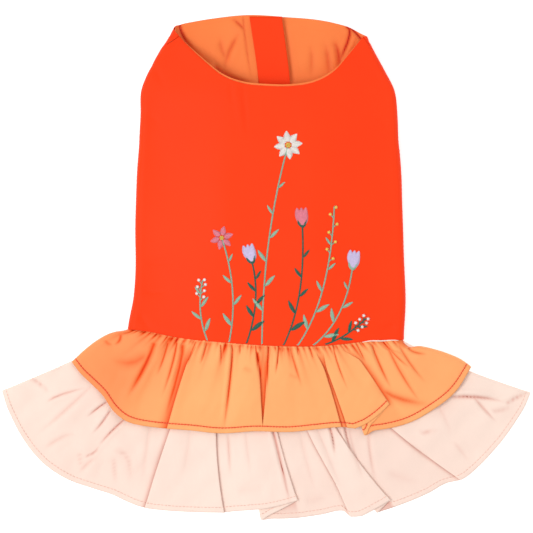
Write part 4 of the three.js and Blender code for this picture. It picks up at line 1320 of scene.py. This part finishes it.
class Embroidery:
    """Raised satin stitches laid on the back, kept by thread colour."""

    def __init__(self):
        self.parts = {name: [] for name in THREADS}

    def stitch(self, colour, a, b, rise, radius=0.2):
        s = np.linspace(0, 1, 5)
        x, y = mix(a[0], b[0], s), mix(a[1], b[1], s)
        z = back_top(x, y) + rise * np.sin(math.pi * s) ** 0.6 + radius * 0.5
        path = np.column_stack([x, y, z])
        self.parts[colour].append(tube(path, radius * (0.7 + 0.3 * np.sin(math.pi * s)), 4))

    def blade(self, colour, base, tip, width, blunt=0.85, slant=0.45):
        """A leaf or petal: slanted stitches across a lens from base to tip."""
        base, tip = np.array(base), np.array(tip)
        length = float(np.hypot(*(tip - base)))
        along = (tip - base) / length
        across = left_of(along)
        for s in np.linspace(0.04, 0.96, max(4, int(length / BLADE_PITCH))):
            half = width / 2 * math.sin(math.pi * s**blunt) ** 0.8
            middle = mix(base, tip, s)
            shift = along * slant * half
            self.stitch(colour, middle + across * half + shift, middle - across * half - shift, BLADE_RISE)

    def stem(self, colour, path, width=1.3, pitch=0.5):
        """A rope of short slanted stitches along a path."""
        path = np.asarray(path)
        run = np.concatenate([[0], np.cumsum(np.hypot(*np.diff(path, axis=0).T))])
        for at in np.arange(0.3, run[-1], pitch):
            x, y = np.interp(at, run, path[:, 0]), np.interp(at, run, path[:, 1])
            x1, y1 = np.interp(at + 0.4, run, path[:, 0]), np.interp(at + 0.4, run, path[:, 1])
            d = np.array([x1 - x, y1 - y])
            d = d / max(float(np.hypot(*d)), 1e-6)
            here = np.array([x, y])
            half = left_of(d) * width / 2 - d * width * 0.45
            self.stitch(colour, here + half, here - half, STEM_RISE)

    def knot(self, colour, at, size):
        """A French knot: three short turns round a point."""
        for turn in (0.3, 1.35, 2.4):
            d = pointing(turn) * size / 2
            self.stitch(colour, at - d, at + d, size * 0.45, size * 0.28)

    def daisy(self, at, size, petals, colour, heart, turn):
        for k in range(petals):
            d = pointing(turn + 2 * math.pi * k / petals)
            self.blade(colour, at + d * size * 0.22, at + d * size, size * 0.5, blunt=0.7, slant=0.25)
        for ring, count in ((0.0, 1), (0.13, 6)):
            for k in range(count):
                self.knot(heart, at + pointing(2 * math.pi * k / count) * size * ring, size * 0.13)

    def bud(self, at, d, size, colour, calyx):
        """A closed flower of three petals over a green cup."""
        n = left_of(d)
        for lean in (0.34, -0.34, 0.0):
            foot, tip = at + n * lean * size * 0.15, at + d * size + n * lean * size * 0.75
            self.blade(colour, foot, tip, size * 0.42)
        for lean in (0.55, -0.55):
            foot, tip = at - d * size * 0.12, at + d * size * 0.3 + n * lean * size * 0.45
            self.blade(calyx, foot, tip, size * 0.2)


def bend_path(x0, y0, x1, y1, x2, y2):
    """Curved path of a stem in mm, kept above the waist seam."""
    s = np.linspace(0, 1, 60)[:, None]
    a, b, c = (np.array([px * HALF_WIDTH, py * BODICE_LENGTH]) for px, py in ((x0, y0), (x1, y1), (x2, y2)))
    path = (1 - s) ** 2 * a + 2 * s * (1 - s) * b + s * s * c
    path[:, 1] = np.maximum(path[:, 1], waist_y(path[:, 0]) + 0.9)
    return path


def embroider():
    """Generic sprays from the table of stems, one piece for each thread colour."""
    work = Embroidery()
    for number, (colour, x0, y0, x1, y1, x2, y2, leaves, head) in enumerate(STEMS):
        path = bend_path(x0, y0, x1, y1, x2, y2)
        work.stem(colour, path)
        d = unit(path[-1] - path[-4])
        for k in range(leaves):
            at = int(mix(10, 46, k / max(leaves - 1, 1)))
            grow = unit(path[at + 1] - path[at - 1])
            n = left_of(grow) * (1 if (k + number) % 2 else -1)
            length = mix(13.0, 8.0, k / max(leaves - 1, 1)) * rng.uniform(0.9, 1.1)
            tip = path[at] + (grow * 0.75 + n * 0.66) * length
            tip[1] = max(tip[1], float(waist_y(tip[0])) + 2.5)
            work.blade(colour, path[at] + n * 0.5, tip, length * 0.26, slant=0.6)
        kind, _, tone = head.partition("_")
        if kind == "daisy":
            size = 11.5 if tone == "white" else 9.5
            work.daisy(path[-1], size, 8 if tone == "white" else 6, tone, "yellow", 0.3 * number)
        elif kind == "bud":
            work.bud(path[-1], d, 14.5, tone, colour)
        else:
            for k in range(7):
                at = int(mix(40, 58, k / 6))
                grow = unit(path[at] - path[at - 2])
                n = left_of(grow) * (1 if k % 2 else -1)
                end = path[at] + (grow * 0.7 + n * 0.7) * (4.2 if k < 6 else 2.0)
                work.stem(colour, np.array([path[at], end]), 0.7, 0.4)
                work.knot(tone, end, 2.4)
    made = []
    for name, parts in work.parts.items():
        if parts:
            obj = join_parts("embroidery_" + name, parts)
            obj.data.materials.append(thread("thread_" + name, THREADS[name]))
            made.append(obj)
    return made


embroidery = embroider()


def waist_piping(name, start, end, radius, material):
    """The pale seam edge that shows between bodice and ruffle for a stretch on the right."""
    x = np.linspace(start, end, 60) * HALF_WIDTH
    y = waist_y(x) - 0.5 + 0.25 * np.sin(x / 3.1)
    z = back_height(x, y) + OUTER_MIDDLE - 0.1
    taper = np.sin(np.linspace(0.05, 3.09, 60)) ** 0.4
    points, faces = tube(np.column_stack([x, y, z]), radius * taper, 8)
    made = make_object(name, points, faces, points[:, :2])
    made.data.materials.append(material)
    return made


piping = waist_piping("waist_seam_edge", start=0.7, end=0.965, radius=0.55, material=materials["pink_cotton"])


def hem_stitches(points, rows, ruffle, material, gap, radius):
    """Machine stitches along the top of a ruffle's hem."""
    margin = HEM_MARGIN / ruffle["depth"]
    j = int(np.argmin(np.abs(rows - (1 - margin))))
    row = points[j].copy()
    row[:, 2] += CLOTH / 2
    name = ruffle["name"].replace("ruffle", "hem_stitches")
    made = join_parts(name, stitch_line(row, HEM_STITCH, gap, radius))
    made.data.materials.append(material)
    return made


red_thread = thread("hem_thread_orange", (255, 74, 14))
pink_thread = thread("hem_thread_pink", (255, 205, 188))
upper_stitches = hem_stitches(upper_points, upper_rows, UPPER, red_thread, gap=0.2, radius=0.55)
lower_stitches = hem_stitches(lower_points, lower_rows, LOWER, pink_thread, gap=0.6, radius=0.3)


def dress(obj, node, slot):
    obj.data.materials.append(materials["peach_lining" if slot == "tape" else slot])
    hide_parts(node)
    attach(obj, "root")


dress(back, "back_panel", "red_satin")
dress(back_lining, "back_lining", "peach_lining")
halves = (("chest_panel_", "red_satin", chest), ("chest_lining_", "peach_lining", chest_linings))
for start, slot, pair in halves:
    for cloth, side in zip(pair, ("left", "right")):
        dress(cloth, start + side, slot)
dress(placket, "placket_strip", "red_satin")
dress(tape, "closure_tape", "tape")
dress(upper, "upper_ruffle", "orange_satin")
dress(lower, "lower_ruffle", "pink_cotton")
for obj in (upper_stitches, lower_stitches, piping, *embroidery):
    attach(obj, "root")

# Pale floor, soft light from above and a wide fill
floor_mesh = bpy.data.meshes.new("floor")
FLOOR_HALF, FLOOR_Z = 4, -0.0004
corners = [(x * FLOOR_HALF, y * FLOOR_HALF, FLOOR_Z) for x, y in ((-1, -1), (1, -1), (1, 1), (-1, 1))]
floor_mesh.from_pydata(corners, [], [(0, 1, 2, 3)])
floor = bpy.data.objects.new("floor", floor_mesh)
bpy.context.scene.collection.objects.link(floor)
floor_material, floor_shader, _, _ = start_material("floor_white", 0.9, 0.0)
for key, value in {
    "Base Color": (0.8, 0.8, 0.8, 1),
    "Specular IOR Level": 0.0,
    "Emission Color": (1, 1, 1, 1),
    "Emission Strength": 0.55,
}.items():
    floor_shader.inputs[key].default_value = value
floor_mesh.materials.append(floor_material)

world = bpy.data.worlds.new("studio")
world.use_nodes = True
world.node_tree.nodes["Background"].inputs["Color"].default_value = (1, 1, 1, 1)
world.node_tree.nodes["Background"].inputs["Strength"].default_value = 0.65
bpy.context.scene.world = world


def area_light(name, place_at, size, power):
    """Square light that looks at the origin."""
    data = bpy.data.lights.new(name, "AREA")
    data.shape = "SQUARE"
    data.size = size
    data.energy = power
    made = bpy.data.objects.new(name, data)
    made.location = place_at
    made.rotation_mode = "QUATERNION"
    made.rotation_quaternion = (-Vector(place_at)).to_track_quat("-Z", "Y")
    bpy.context.scene.collection.objects.link(made)


area_light("key", (-1.15, -0.15, 1.8), size=0.9, power=19.5)
area_light("fill", (1.2, 0.6, 1.9), size=1.6, power=8)

# Camera straight above; its picture is as wide as the photograph's view, in metres
CAMERA_HEIGHT = 2.5
CLOTH_LEVEL = 0.005
PHOTO_SPAN = 0.4264
PHOTO_CENTRE = (0.6, 62.8)
camera_data = bpy.data.cameras.new("camera")
camera = bpy.data.objects.new("camera", camera_data)
camera_data.sensor_width = 36
camera_data.lens = camera_data.sensor_width * (CAMERA_HEIGHT - CLOTH_LEVEL) / PHOTO_SPAN
camera_data.clip_end = 10
middle = [(at + shift) / 1000 for at, shift in zip(PHOTO_CENTRE, SHIFT)]
camera.location = (*middle, CAMERA_HEIGHT)
bpy.context.scene.collection.objects.link(camera)
bpy.context.scene.camera = camera
bpy.context.scene.view_settings.view_transform = "Standard"
